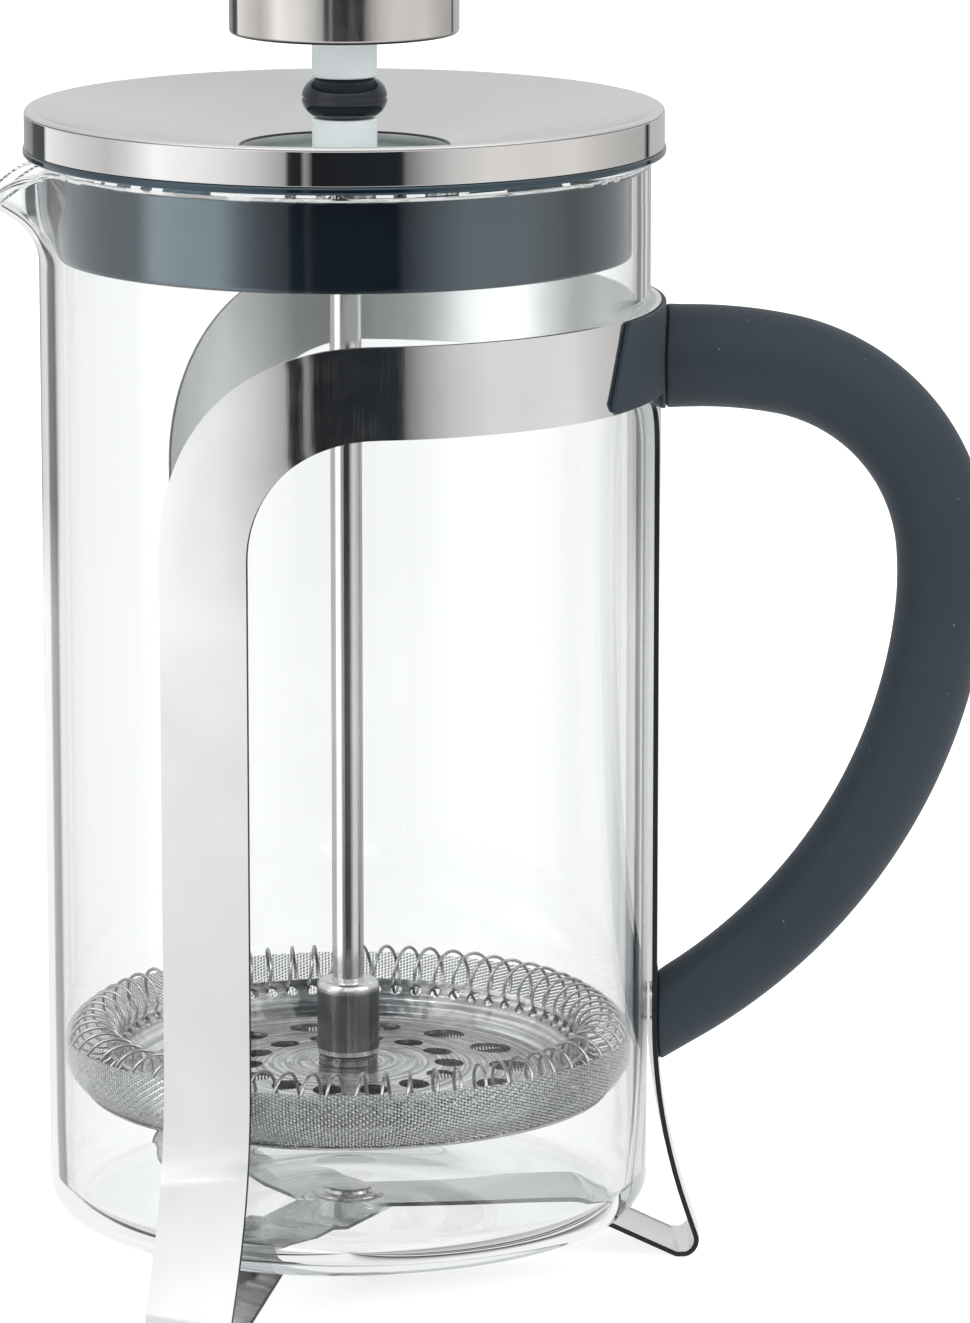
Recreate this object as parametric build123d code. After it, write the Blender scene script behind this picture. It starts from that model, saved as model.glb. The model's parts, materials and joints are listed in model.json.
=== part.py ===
"""French press: a glass beaker in a steel cradle, with a lid and a sprung plunger filter.

Millimetres, +Z up. Every piece is drawn about the beaker's axis, with the handle towards +X and
the pouring lip towards -X, and then all are moved so that the origin is at the middle of the
bottom of the bounding box.
"""

from build123d import *
import os
from math import asin, cos, degrees, pi, radians, sin

# Glass beaker
GLASS_RADIUS = 48.0
GLASS_WALL = 2.3
GLASS_FLOOR = 2.8
GLASS_CORNER = 5.6
BEAKER_BASE = 8.15
BEAKER_RIM = 178.3
KICK_RADIUS = 34.0
KICK_HEIGHT = 3.6
LIP_REACH = 57.3
LIP_WALL = 2.0

# Steel cradle
SHEET = 0.8
BAND_INNER = 48.9
BAND_OUTER = BAND_INNER + SHEET
BAND_LOW = 141.0
BAND_HIGH = 155.2
LEG_WIDTH = 14.9
LIP_LEG_AZIMUTH = 117.65
ARCH_OUTER = 33.0
ARCH_INNER = 19.0
REAR_LEG_FILLET = 9.5
FLARE_TOP = 40.0
FLARE_RADIUS = 100.0
FLARE_ANGLE = 18.7
FOOT_RADIUS = 2.8
FOOT_FLAT = 0.1
ARM_RISE = 25.8
ARM_BEND = 6.0
ARM_INNER = 29.0
ARM_STEP_FROM = 20.0
ARM_STEP_TO = 16.0

# Handle
HANDLE_HEIGHT = 145.65
HANDLE_START_RADIUS = 8.2
HANDLE_END_RADIUS = 6.25
HANDLE_STRAIGHT = 4.5
HANDLE_BENDS = [(71.0, 11.4), (32.15, 74.15), (59.85, 11.7), (85.6, 54.1)]
COLLAR_WALL = 0.75
COLLAR_LOW_SPAN = 59.0
COLLAR_HIGH_SPAN = 52.4
SEAM_GAP = 0.1
SCREW_RADIUS = 2.0
SCREW_HEAD_RADIUS = 3.2
SCREW_HEAD_FROM = 48.32
SCREW_HEAD_TO = 48.78
LOWER_SCREW_HEIGHT = 40.6
INSERT_RADIUS = 2.9
LOWER_INSERT_RADIUS = 2.5
INSERT_FROM = 51.0
INSERT_LENGTH = 11.0
LOWER_INSERT_FROM = 50.5
LOWER_INSERT_LENGTH = 7.0

# Lid
LID_RADIUS = 50.1
LID_SHEET = 0.6
LID_EDGE = 0.6
LID_TOP = 185.4
LID_SKIRT_LOW = 179.5
LID_DISH_LOW = 179.4
WELL_RADIUS = 16.4
WELL_FLOOR = 177.6
LINER_RADIUS = 45.0
LINER_WALL = 1.8
LINER_FLANGE = 50.35
LINER_LOW = 162.6
LINER_STEP = 175.9
WEB_TOP = 176.9
WEB_LOW = 175.3
BUSHING_RADIUS = 5.1
BUSHING_TOP = 183.7
BUSHING_LOW = 171.5
BUSHING_FLANGE = 8.0
CLIP_RADIUS = 7.6
CLIP_THICKNESS = 0.7
CLIP_NOTCH_RADIUS = 0.7
CLIP_NOTCH_AT = 5.9

# Plunger
ROD_RADIUS = 2.5
ROD_LOW = 25.6
ROD_HIGH = 203.5
RUNNING_GAP = 0.05
HUB_RADIUS = 5.0
HUB_LOW = 31.4
HUB_HIGH = 45.1
BEAD_RADIUS = 6.75
BEAD_LOW = BUSHING_TOP
BEAD_HIGH = 190.1

# Filter
COIL_COUNT = 66
COIL_CENTRE_RADIUS = 40.8
COIL_CENTRE_HEIGHT = 36.2
COIL_RADIUS = 3.95
WIRE_RADIUS = 0.25
PLATE_SHEET = 0.6
RIM_HOLE_RADIUS = 1.05
RIM_HOLE_AT = (36.95, 33.85)
DRAIN_HOLES = [(14, 26.0, 3.4), (14, 16.2, 2.4)]
MESH_SHEET = 0.35
MESH_LOW = 28.9
MESH_FLAT_RADIUS = 42.0
MESH_RADIUS = 45.4
MESH_HIGH = 38.1
MESH_BULGE_TOP = 36.0
CROSS_RADIUS = 42.0
CROSS_SHEET = 0.7
CROSS_HOLES = [(8, 30.5, 6.5), (8, 15.5, 3.6)]
CROSS_NUT_LOW = 25.2

# Knob
KNOB_RADIUS = 18.0
KNOB_LOW = 197.0
KNOB_HIGH = 221.0
KNOB_SHEET = 0.8
NECK_RADIUS = 5.1
KNOB_INSERT_RADIUS = 3.6
KNOB_INSERT_TOP = 206.0


def turned(outline):
    """Solid of revolution about Z of a closed face drawn as (radius, height)."""
    return revolve(Plane.XZ * outline, Axis.Z)


def polygon(*points):
    return make_face(Polyline(*points, close=True))


def ring(inner, outer, low, high):
    return Pos(0, 0, low) * extrude(Circle(outer) - Circle(inner), high - low)


def disc(outer, low, high):
    return Pos(0, 0, low) * extrude(Circle(outer), high - low)


def around(count, piece):
    """Copies of a piece, evenly spaced about Z."""
    return [Rot(0, 0, 360 * i / count) * piece for i in range(count)]


def radial_plane(azimuth):
    """Plane through the axis that faces outwards at an azimuth, with local y up."""
    a = radians(azimuth)
    return Plane(origin=(0, 0, 0), x_dir=(-sin(a), cos(a), 0), z_dir=(cos(a), sin(a), 0))


def panel(azimuth, outline):
    """A (sideways, height) outline pushed outwards from the axis at an azimuth."""
    return extrude(radial_plane(azimuth) * outline, 80)


def box_outline(left, right, low, high):
    return Pos((left + right) / 2, (low + high) / 2) * Rectangle(right - left, high - low)


def rod_along_x(radius, x_from, x_to, height):
    return Pos(x_from, 0, height) * (Rot(0, 90, 0) * extrude(Circle(radius), x_to - x_from))


# ---- Beaker


def lip_section(x, half_width, top, depth, grow):
    """U-shaped face across the pouring lip, flat on top."""
    half = half_width + grow
    low = top - depth - grow
    side = top - depth * 0.35
    with BuildLine() as outline:
        Polyline((-half, side), (-half, top), (half, top), (half, side))
        Spline((half, side), (half * 0.72, low + depth * 0.16), (0, low),
               (-half * 0.72, low + depth * 0.16), (-half, side), tangents=((0, -1), (0, 1)))
    return Plane(origin=(-x, 0, 0), x_dir=(0, -1, 0), z_dir=(-1, 0, 0)) * make_face(outline.line)


def pouring_lip(grow, headroom):
    """The lip's body: it leaves the wall below the rim, widens upwards and droops at its tip."""
    stations = [(43.0, 13.0, 177.6, 16.6), (49.0, 10.6, 177.4, 12.2), (53.9, 7.6, 174.2, 5.3),
                (LIP_REACH, 5.8, 171.8, 2.6)]
    faces = [lip_section(x, half, top + headroom, depth + headroom, grow)
             for x, half, top, depth in stations]
    return loft(faces)


def glass_beaker():
    inner = GLASS_RADIUS - GLASS_WALL
    inside_corner = GLASS_CORNER - GLASS_WALL + 1.0
    floor = BEAKER_BASE + GLASS_FLOOR
    flat = GLASS_RADIUS - GLASS_CORNER
    with BuildLine() as outer_line:
        base = Line((KICK_RADIUS, BEAKER_BASE), (flat, BEAKER_BASE))
        corner = JernArc(base @ 1, (1, 0), GLASS_CORNER, 90)
        wall = Line(corner @ 1, (GLASS_RADIUS, BEAKER_RIM))
        top = Line(wall @ 1, (0, BEAKER_RIM))
        Line(top @ 1, (0, BEAKER_BASE + KICK_HEIGHT))
        Spline((0, BEAKER_BASE + KICK_HEIGHT), base @ 0, tangents=((1, 0), (1, -0.35)))
    with BuildLine() as inner_line:
        base = Line((KICK_RADIUS - 2, floor), (inner - inside_corner, floor))
        corner = JernArc(base @ 1, (1, 0), inside_corner, 90)
        wall = Line(corner @ 1, (inner, BEAKER_RIM + 5))
        top = Line(wall @ 1, (0, BEAKER_RIM + 5))
        Line(top @ 1, (0, floor + KICK_HEIGHT - 0.6))
        Spline((0, floor + KICK_HEIGHT - 0.6), base @ 0, tangents=((1, 0), (1, -0.35)))
    body = turned(make_face(outer_line.line)) + pouring_lip(0, 0)
    body -= turned(make_face(inner_line.line))
    body -= pouring_lip(-LIP_WALL, 9)
    rim = body.edges().filter_by(GeomType.CIRCLE).filter_by_position(Axis.Z, BEAKER_RIM - 0.01,
                                                                   BEAKER_RIM + 0.01)
    return fillet(rim, 0.9)


# ---- Cradle


def strip_profile():
    """Edge-on face of one leg's lower end: flare, foot, rising arm and flat end."""
    centre_height = FOOT_RADIUS - FOOT_FLAT
    flare, rise = radians(FLARE_ANGLE), radians(ARM_RISE)
    flare_end = FLARE_TOP - FLARE_RADIUS * sin(flare)
    shin = (flare_end - centre_height - FOOT_RADIUS * sin(flare)) / cos(flare)
    climb = BEAKER_BASE - SHEET - centre_height + FOOT_RADIUS * cos(rise)
    arm = (climb - ARM_BEND * (1 - cos(rise))) / sin(rise)
    with BuildLine() as outer:
        start = Line((BAND_OUTER, FLARE_TOP + 2), (BAND_OUTER, FLARE_TOP))
        bend = JernArc(start @ 1, start % 1, FLARE_RADIUS, FLARE_ANGLE)
        straight = Line(bend @ 1, bend @ 1 + (bend % 1) * shin)
        foot = JernArc(straight @ 1, straight % 1, FOOT_RADIUS, -(90 + FLARE_ANGLE + ARM_RISE))
        climb_line = Line(foot @ 1, foot @ 1 + (foot % 1) * arm)
        level = JernArc(climb_line @ 1, climb_line % 1, ARM_BEND, ARM_RISE)
        Line(level @ 1, (ARM_INNER, (level @ 1).Y))
    return make_face(offset(outer.line, SHEET, side=Side.RIGHT, closed=True))


def lip_leg_outline():
    """Leg beside the pouring lip, from the band's end round the arch and down."""
    half = LEG_WIDTH / 2
    arch_end = -half - ARCH_INNER
    with BuildLine() as outline:
        Polyline((half, BAND_HIGH - ARCH_OUTER), (half, FLARE_TOP), (-half, FLARE_TOP),
                 (-half, BAND_LOW - ARCH_INNER))
        RadiusArc((-half, BAND_LOW - ARCH_INNER), (arch_end, BAND_LOW), -ARCH_INNER)
        Polyline((arch_end, BAND_LOW), (arch_end, BAND_HIGH), (half - ARCH_OUTER, BAND_HIGH))
        RadiusArc((half - ARCH_OUTER, BAND_HIGH), (half, BAND_HIGH - ARCH_OUTER), ARCH_OUTER)
    return make_face(outline.line)


def rear_leg_outline():
    half = LEG_WIDTH / 2
    wide = half + REAR_LEG_FILLET
    low = BAND_LOW - REAR_LEG_FILLET
    with BuildLine() as outline:
        RadiusArc((half, low), (wide, BAND_LOW), REAR_LEG_FILLET)
        Polyline((wide, BAND_LOW), (wide, BAND_LOW + 1), (-wide, BAND_LOW + 1), (-wide, BAND_LOW))
        RadiusArc((-wide, BAND_LOW), (-half, low), REAR_LEG_FILLET)
        Polyline((-half, low), (-half, FLARE_TOP), (half, FLARE_TOP), (half, low))
    return make_face(outline.line)


def base_arm(azimuth, level):
    """Flat inner end of a leg: it steps down by a number of sheets and ends round the rivet."""
    high = BEAKER_BASE
    low = high - SHEET
    drop = level * SHEET
    strip = polygon((ARM_INNER + 1, low), (ARM_STEP_FROM, low), (ARM_STEP_TO, low - drop),
                    (-LEG_WIDTH, low - drop), (-LEG_WIDTH, high - drop),
                    (ARM_STEP_TO, high - drop), (ARM_STEP_FROM, high), (ARM_INNER + 1, high))
    thick = extrude(Plane.XZ * strip, LEG_WIDTH, both=True)
    plan = Pos(ARM_INNER / 2, 0) * Rectangle(ARM_INNER, LEG_WIDTH) + Circle(LEG_WIDTH / 2)
    return Rot(0, 0, azimuth) * (thick & extrude(plan, 20))


def cradle():
    shell = ring(BAND_INNER, BAND_OUTER, FLARE_TOP, BAND_HIGH)
    reach = LIP_LEG_AZIMUTH - degrees(asin((LEG_WIDTH / 2 + ARCH_INNER) / BAND_OUTER)) + 2
    edge = (100 * cos(radians(reach)), 100 * sin(radians(reach)))
    sector = make_face(Polyline((0, 0), edge, (100, 100), (100, -100), (edge[0], -edge[1]), close=True))
    steel = ring(BAND_INNER, BAND_OUTER, BAND_LOW, BAND_HIGH) & extrude(sector, 200)
    steel += shell & panel(0, rear_leg_outline())
    lip_leg = shell & panel(LIP_LEG_AZIMUTH, lip_leg_outline())
    steel += [lip_leg, mirror(lip_leg, Plane.XZ)]
    lower = turned(strip_profile()) - disc(100, -5, 0)
    width = box_outline(-LEG_WIDTH / 2, LEG_WIDTH / 2, -5, FLARE_TOP)
    for level, azimuth in enumerate((0, LIP_LEG_AZIMUTH, -LIP_LEG_AZIMUTH)):
        steel += lower & panel(azimuth, width)
        steel += base_arm(azimuth, level)
    for height in (HANDLE_HEIGHT, LOWER_SCREW_HEIGHT):
        steel -= rod_along_x(SCREW_RADIUS, 40, 60, height)
    return steel - disc(SCREW_RADIUS, -1, 20)


def base_rivet():
    stack_low = BEAKER_BASE - 3 * SHEET
    outline = polygon((0, stack_low - 0.9), (2.8, stack_low - 0.9), (3.6, stack_low - 0.4),
                      (3.6, stack_low), (SCREW_RADIUS, stack_low), (SCREW_RADIUS, BEAKER_BASE),
                      (5.9, BEAKER_BASE), (5.7, BEAKER_BASE + 0.45), (4.1, BEAKER_BASE + 0.5),
                      (3.9, BEAKER_BASE + 1.1), (3.4, BEAKER_BASE + 1.3), (0, BEAKER_BASE + 1.3))
    return turned(outline)


# ---- Handle


def handle_path():
    """Centre line in the plane y = 0, from the band outwards and round to the rear leg."""
    start_x = BAND_OUTER - 3
    pieces = [Line((start_x, HANDLE_HEIGHT), (BAND_OUTER + 0.8 + HANDLE_STRAIGHT, HANDLE_HEIGHT))]
    for radius, angle in HANDLE_BENDS:
        last = pieces[-1]
        pieces.append(JernArc(last @ 1, last % 1, radius, -angle))
    last = pieces[-1]
    pieces.append(Line(last @ 1, last @ 1 + (last % 1) * 5))
    return Plane.XZ * Wire([edge for piece in pieces for edge in piece.edges()])


def handle_grip():
    path = handle_path()
    start = Plane(origin=path @ 0, z_dir=path % 0) * Circle(HANDLE_START_RADIUS)
    end = Plane(origin=path @ 1, z_dir=path % 1) * Circle(HANDLE_END_RADIUS)
    grip = sweep([start.face(), end.face()], path, multisection=True)
    grip -= disc(BAND_OUTER + COLLAR_WALL + SEAM_GAP, BAND_LOW - 10, BAND_HIGH + 10)
    grip -= disc(BAND_OUTER, 0, 100) + turned(strip_profile())
    grip -= rod_along_x(INSERT_RADIUS, 40, INSERT_FROM + INSERT_LENGTH, HANDLE_HEIGHT)
    lower_end = LOWER_INSERT_FROM + LOWER_INSERT_LENGTH
    return grip - rod_along_x(LOWER_INSERT_RADIUS, 40, lower_end, LOWER_SCREW_HEIGHT)


def handle_collar():
    """Thin saddle between the band and the handle, bulged round the handle's end."""
    low_half, high_half = COLLAR_LOW_SPAN / 2, COLLAR_HIGH_SPAN / 2
    low, high = BAND_LOW + 0.3, BAND_HIGH - 0.2
    plate = polygon((-low_half, low), (low_half, low), (high_half, high), (-high_half, high))
    plate += Pos(0, HANDLE_HEIGHT) * Circle(HANDLE_START_RADIUS + 0.1)
    plate = fillet([v for v in plate.vertices() if abs(v.X) < 12], 5.0)
    plate = fillet([v for v in plate.vertices() if abs(v.X) > high_half - 0.1], 1.5)
    saddle = ring(BAND_OUTER, BAND_OUTER + COLLAR_WALL, BAND_LOW - 10, BAND_HIGH + 10)
    saddle &= panel(0, plate)
    return saddle - rod_along_x(SCREW_RADIUS, 40, 60, HANDLE_HEIGHT)


def threaded_insert(radius, low_x, length, height):
    insert = rod_along_x(radius, low_x, low_x + length, height)
    return insert - rod_along_x(SCREW_RADIUS, low_x - 1, low_x + length - 1.5, height)


def handle_screw(tip_x, height):
    head = rod_along_x(SCREW_HEAD_RADIUS, SCREW_HEAD_FROM, SCREW_HEAD_TO, height)
    return head + rod_along_x(SCREW_RADIUS, SCREW_HEAD_TO, tip_x, height)


# ---- Lid


def lid_cover():
    """Pressed steel dish: straight skirt, rounded edge, sunken top and a round well."""
    top_low = LID_TOP - LID_SHEET
    rim_in = LID_RADIUS - LID_SHEET
    outline = make_face(Polyline(
        (LID_RADIUS, LID_SKIRT_LOW), (LID_RADIUS, LID_TOP), (LID_RADIUS - 1.6, LID_TOP),
        (WELL_RADIUS, LID_DISH_LOW), (WELL_RADIUS - 0.5, WELL_FLOOR),
        (BUSHING_RADIUS + RUNNING_GAP, WELL_FLOOR),
        (BUSHING_RADIUS + RUNNING_GAP, WELL_FLOOR - LID_SHEET), (WELL_RADIUS, WELL_FLOOR - LID_SHEET),
        (WELL_RADIUS + LID_SHEET, LID_DISH_LOW - LID_SHEET), (rim_in - 1.2, top_low), (rim_in, top_low),
        (rim_in, LID_SKIRT_LOW), close=True))
    outer_edge = [v for v in outline.vertices() if v.Y > LID_TOP - 0.01 and v.X > LID_RADIUS - 0.01]
    outline = fillet(outer_edge, LID_EDGE)
    well_edge = [v for v in outline.vertices()
                 if abs(v.X - WELL_RADIUS) < 0.01 and abs(v.Y - LID_DISH_LOW) < 0.01]
    return turned(fillet(well_edge, 0.4))


def lid_liner():
    """Plastic liner: flange on the glass rim, ring wall inside the glass, web and centre hole."""
    inner = LINER_RADIUS - LINER_WALL
    hole = BUSHING_RADIUS + RUNNING_GAP
    outline = polygon(
        (LINER_RADIUS, LINER_LOW + 1.2), (LINER_RADIUS, LINER_STEP), (LINER_RADIUS + 0.25, LINER_STEP),
        (LINER_RADIUS + 0.25, BEAKER_RIM), (LINER_FLANGE, BEAKER_RIM), (LINER_FLANGE, LID_SKIRT_LOW),
        (LINER_RADIUS, LID_SKIRT_LOW), (LINER_RADIUS - 0.6, LID_SKIRT_LOW + 0.4),
        (inner, LID_SKIRT_LOW), (inner - 0.9, WEB_TOP), (hole, WEB_TOP), (hole, WEB_LOW), (inner, WEB_LOW),
        (inner, LINER_LOW), (LINER_RADIUS - 1.2, LINER_LOW))
    return turned(outline)


def lid_bushing():
    bore = ROD_RADIUS + RUNNING_GAP
    outline = polygon((bore, BUSHING_LOW), (BUSHING_RADIUS, BUSHING_LOW),
                      (BUSHING_RADIUS, WEB_LOW - 1.5), (BUSHING_FLANGE, WEB_LOW - 1.5),
                      (BUSHING_FLANGE, WEB_LOW), (BUSHING_RADIUS, WEB_LOW),
                      (BUSHING_RADIUS, BUSHING_TOP - 0.3), (BUSHING_RADIUS - 0.3, BUSHING_TOP),
                      (bore, BUSHING_TOP))
    return turned(outline)


def bushing_clip():
    """Push-on ring that holds the guide bushing down on the well's floor."""
    plate = Circle(CLIP_RADIUS) - Circle(BUSHING_RADIUS)
    plate -= around(6, Pos(CLIP_NOTCH_AT, 0) * Circle(CLIP_NOTCH_RADIUS))
    return Pos(0, 0, WELL_FLOOR) * extrude(plate, CLIP_THICKNESS)


# ---- Plunger and filter


def plunger_rod():
    rod = disc(ROD_RADIUS, ROD_LOW, ROD_HIGH)
    ends = rod.edges().filter_by(GeomType.CIRCLE)
    return chamfer(ends, 0.4)


def rod_hub():
    groove = HUB_LOW + 1.2
    with BuildLine() as outline:
        Polyline((ROD_RADIUS, HUB_LOW), (HUB_RADIUS - 0.25, HUB_LOW), (HUB_RADIUS - 0.25, groove - 0.3),
                 (HUB_RADIUS - 0.6, groove), (HUB_RADIUS, groove + 0.6), (HUB_RADIUS, HUB_HIGH - 1.8))
        RadiusArc((HUB_RADIUS, HUB_HIGH - 1.8), (HUB_RADIUS - 1.6, HUB_HIGH), -1.75)
        Polyline((HUB_RADIUS - 1.6, HUB_HIGH), (ROD_RADIUS, HUB_HIGH), (ROD_RADIUS, HUB_LOW))
    return turned(make_face(outline.line))


def bumper_ring():
    """Rubber bead with a fine parting line round its middle."""
    middle = (BEAD_LOW + BEAD_HIGH) / 2
    side = (BEAD_HIGH - BEAD_LOW) / 2
    with BuildLine() as outline:
        Line((ROD_RADIUS, BEAD_LOW), (BEAD_RADIUS - side, BEAD_LOW))
        JernArc((BEAD_RADIUS - side, BEAD_LOW), (1, 0), side, 180)
        Polyline((BEAD_RADIUS - side, BEAD_HIGH), (ROD_RADIUS, BEAD_HIGH), (ROD_RADIUS, BEAD_LOW))
    bead = turned(make_face(outline.line))
    seam = polygon((BEAD_RADIUS - 0.12, middle), (BEAD_RADIUS + 1, middle - 0.5),
                   (BEAD_RADIUS + 1, middle + 0.5))
    return bead - turned(seam)


def spiral_plate():
    """Dished plate whose sloping rim carries the spring's coils in a ring of holes."""
    top = [(ROD_RADIUS, HUB_LOW), (9.0, HUB_LOW), (31.5, 29.9), (33.2, 30.1), (38.3, 35.3)]
    slope = radians(45.5)
    shift = (PLATE_SHEET * sin(slope), -PLATE_SHEET * cos(slope))
    under = [(38.3 + shift[0], 35.3 + shift[1]), (33.2 + shift[0], 30.1 - PLATE_SHEET),
             (31.5, 29.9 - PLATE_SHEET), (9.0, HUB_LOW - PLATE_SHEET),
             (ROD_RADIUS, HUB_LOW - PLATE_SHEET)]
    plate = turned(polygon(*top, *under))
    for count, at, radius in DRAIN_HOLES:
        plate -= around(count, Pos(at, 0, 20) * extrude(Circle(radius), 20))
    drill = Pos(RIM_HOLE_AT[0], 0, RIM_HOLE_AT[1]) * (Rot(0, 135, 0) * Cylinder(RIM_HOLE_RADIUS, 5))
    return plate - around(COIL_COUNT, drill)


def coil_point(turn):
    """Point of the spring's centre line after a number of turns."""
    azimuth = 2 * pi * turn / COIL_COUNT
    lean = 2 * pi * turn
    radius = COIL_CENTRE_RADIUS - COIL_RADIUS * cos(lean)
    height = COIL_CENTRE_HEIGHT - COIL_RADIUS * sin(lean)
    return Vector(radius * cos(azimuth), radius * sin(azimuth), height)


def filter_spring():
    """Closed ring of coils; each coil passes through one hole of the plate's rim."""
    steps = 12
    ends = [coil_point(turn + 1e-4) - coil_point(turn - 1e-4) for turn in (0, 1)]
    coil = Spline(*[coil_point(i / steps) for i in range(steps + 1)], tangents=ends,
                  tangent_scalars=(1, 1))
    section = Plane(origin=coil @ 0, z_dir=coil % 0) * Circle(WIRE_RADIUS)
    sides = sweep(section, coil).faces().filter_by(GeomType.PLANE, reverse=True)
    return Solid(Shell([copy for side in sides for copy in around(COIL_COUNT, side)]))


def mesh_screen():
    """Woven screen, as a thin dish that wraps round the outside of the spring."""
    reach = MESH_RADIUS - MESH_FLAT_RADIUS
    rise = MESH_BULGE_TOP - MESH_LOW
    bulge = (reach * reach + rise * rise) / (2 * reach)
    with BuildLine() as outer:
        flat = Line((4.6, MESH_LOW), (MESH_FLAT_RADIUS, MESH_LOW))
        side = RadiusArc(flat @ 1, (MESH_RADIUS, MESH_BULGE_TOP), -bulge)
        Line(side @ 1, (MESH_RADIUS, MESH_HIGH))
    return turned(make_face(offset(outer.line, MESH_SHEET, side=Side.LEFT, closed=True)))


def cross_plate():
    """Bottom plate with large holes and a threaded boss that clamps the filter together."""
    bore = ROD_RADIUS + RUNNING_GAP
    low = MESH_LOW - CROSS_SHEET
    boss_top = HUB_LOW - PLATE_SHEET
    outline = polygon((bore, CROSS_NUT_LOW), (5.4, CROSS_NUT_LOW), (5.4, low), (CROSS_RADIUS - 0.3, low),
                      (CROSS_RADIUS, low + 0.35), (CROSS_RADIUS - 0.3, MESH_LOW), (4.4, MESH_LOW),
                      (4.4, boss_top), (bore, boss_top))
    plate = turned(outline)
    for count, at, radius in CROSS_HOLES:
        plate -= around(count, Pos(at, 0, 20) * extrude(Circle(radius), 20))
    return plate


# ---- Knob


def knob_shell():
    inner = KNOB_RADIUS - KNOB_SHEET
    outline = polygon((inner - 0.6, KNOB_LOW), (KNOB_RADIUS, KNOB_LOW), (KNOB_RADIUS, KNOB_HIGH),
                      (0, KNOB_HIGH), (0, KNOB_HIGH - KNOB_SHEET), (inner, KNOB_HIGH - KNOB_SHEET),
                      (inner, KNOB_LOW + 0.6), (inner - 0.6, KNOB_LOW + 0.6))
    outer = [v for v in outline.vertices() if v.X > KNOB_RADIUS - 0.01]
    return turned(fillet(outer, 0.8))


def knob_core():
    """Plastic core that fills the shell and reaches down as the neck."""
    inner = KNOB_RADIUS - KNOB_SHEET
    low = KNOB_LOW + 0.6
    outline = polygon((KNOB_INSERT_RADIUS, BEAD_HIGH + 1.5), (KNOB_INSERT_RADIUS, KNOB_INSERT_TOP),
                      (0, KNOB_INSERT_TOP), (0, KNOB_HIGH - KNOB_SHEET), (inner, KNOB_HIGH - KNOB_SHEET),
                      (inner, low), (NECK_RADIUS, low), (NECK_RADIUS, BEAD_HIGH + 0.4),
                      (NECK_RADIUS - 0.4, BEAD_HIGH), (ROD_RADIUS + RUNNING_GAP, BEAD_HIGH),
                      (ROD_RADIUS + RUNNING_GAP, BEAD_HIGH + 1.5))
    return turned(outline)


def knob_insert():
    bore = ROD_RADIUS + RUNNING_GAP
    top, low = KNOB_INSERT_TOP, BEAD_HIGH + 1.5
    outline = polygon((bore, low), (KNOB_INSERT_RADIUS, low), (KNOB_INSERT_RADIUS, top), (0, top),
                      (0, top - 1.5), (bore, top - 1.5))
    return turned(outline)


def build():
    return {
        "cradle": cradle(),
        "base_rivet": base_rivet(),
        "handle_grip": handle_grip(),
        "handle_collar": handle_collar(),
        "upper_handle_insert": threaded_insert(INSERT_RADIUS, INSERT_FROM, INSERT_LENGTH, HANDLE_HEIGHT),
        "lower_handle_insert": threaded_insert(LOWER_INSERT_RADIUS, LOWER_INSERT_FROM,
                                               LOWER_INSERT_LENGTH, LOWER_SCREW_HEIGHT),
        "upper_handle_screw": handle_screw(INSERT_FROM + INSERT_LENGTH - 2, HANDLE_HEIGHT),
        "lower_handle_screw": handle_screw(LOWER_INSERT_FROM + LOWER_INSERT_LENGTH - 2,
                                           LOWER_SCREW_HEIGHT),
        "glass_beaker": glass_beaker(),
        "lid_cover": lid_cover(),
        "lid_liner": lid_liner(),
        "lid_bushing": lid_bushing(),
        "bushing_clip": bushing_clip(),
        "plunger_rod": plunger_rod(),
        "rod_hub": rod_hub(),
        "bumper_ring": bumper_ring(),
        "spiral_plate": spiral_plate(),
        "filter_spring": filter_spring(),
        "mesh_screen": mesh_screen(),
        "cross_plate": cross_plate(),
        "knob_shell": knob_shell(),
        "knob_core": knob_core(),
        "knob_insert": knob_insert(),
    }


pieces = build()
handle_reach = pieces["handle_grip"].bounding_box().max.X
lip_reach = pieces["glass_beaker"].bounding_box().min.X
axis_x = -(handle_reach + lip_reach) / 2
print("beaker axis at x =", round(axis_x, 4))
os.makedirs("parts", exist_ok=True)
for name, piece in pieces.items():
    export_step(Pos(axis_x, 0, 0) * piece, f"parts/{name}.step")
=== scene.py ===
"""Looks of the french press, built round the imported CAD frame. Lengths are written in millimetres
and turned into metres as each mesh is made; radii and azimuths are about the beaker's axis, with
azimuth 0 towards the handle and 180 towards the pouring lip."""

import json
import random
from math import asin, cos, pi, radians, sin, sqrt, tan

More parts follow.
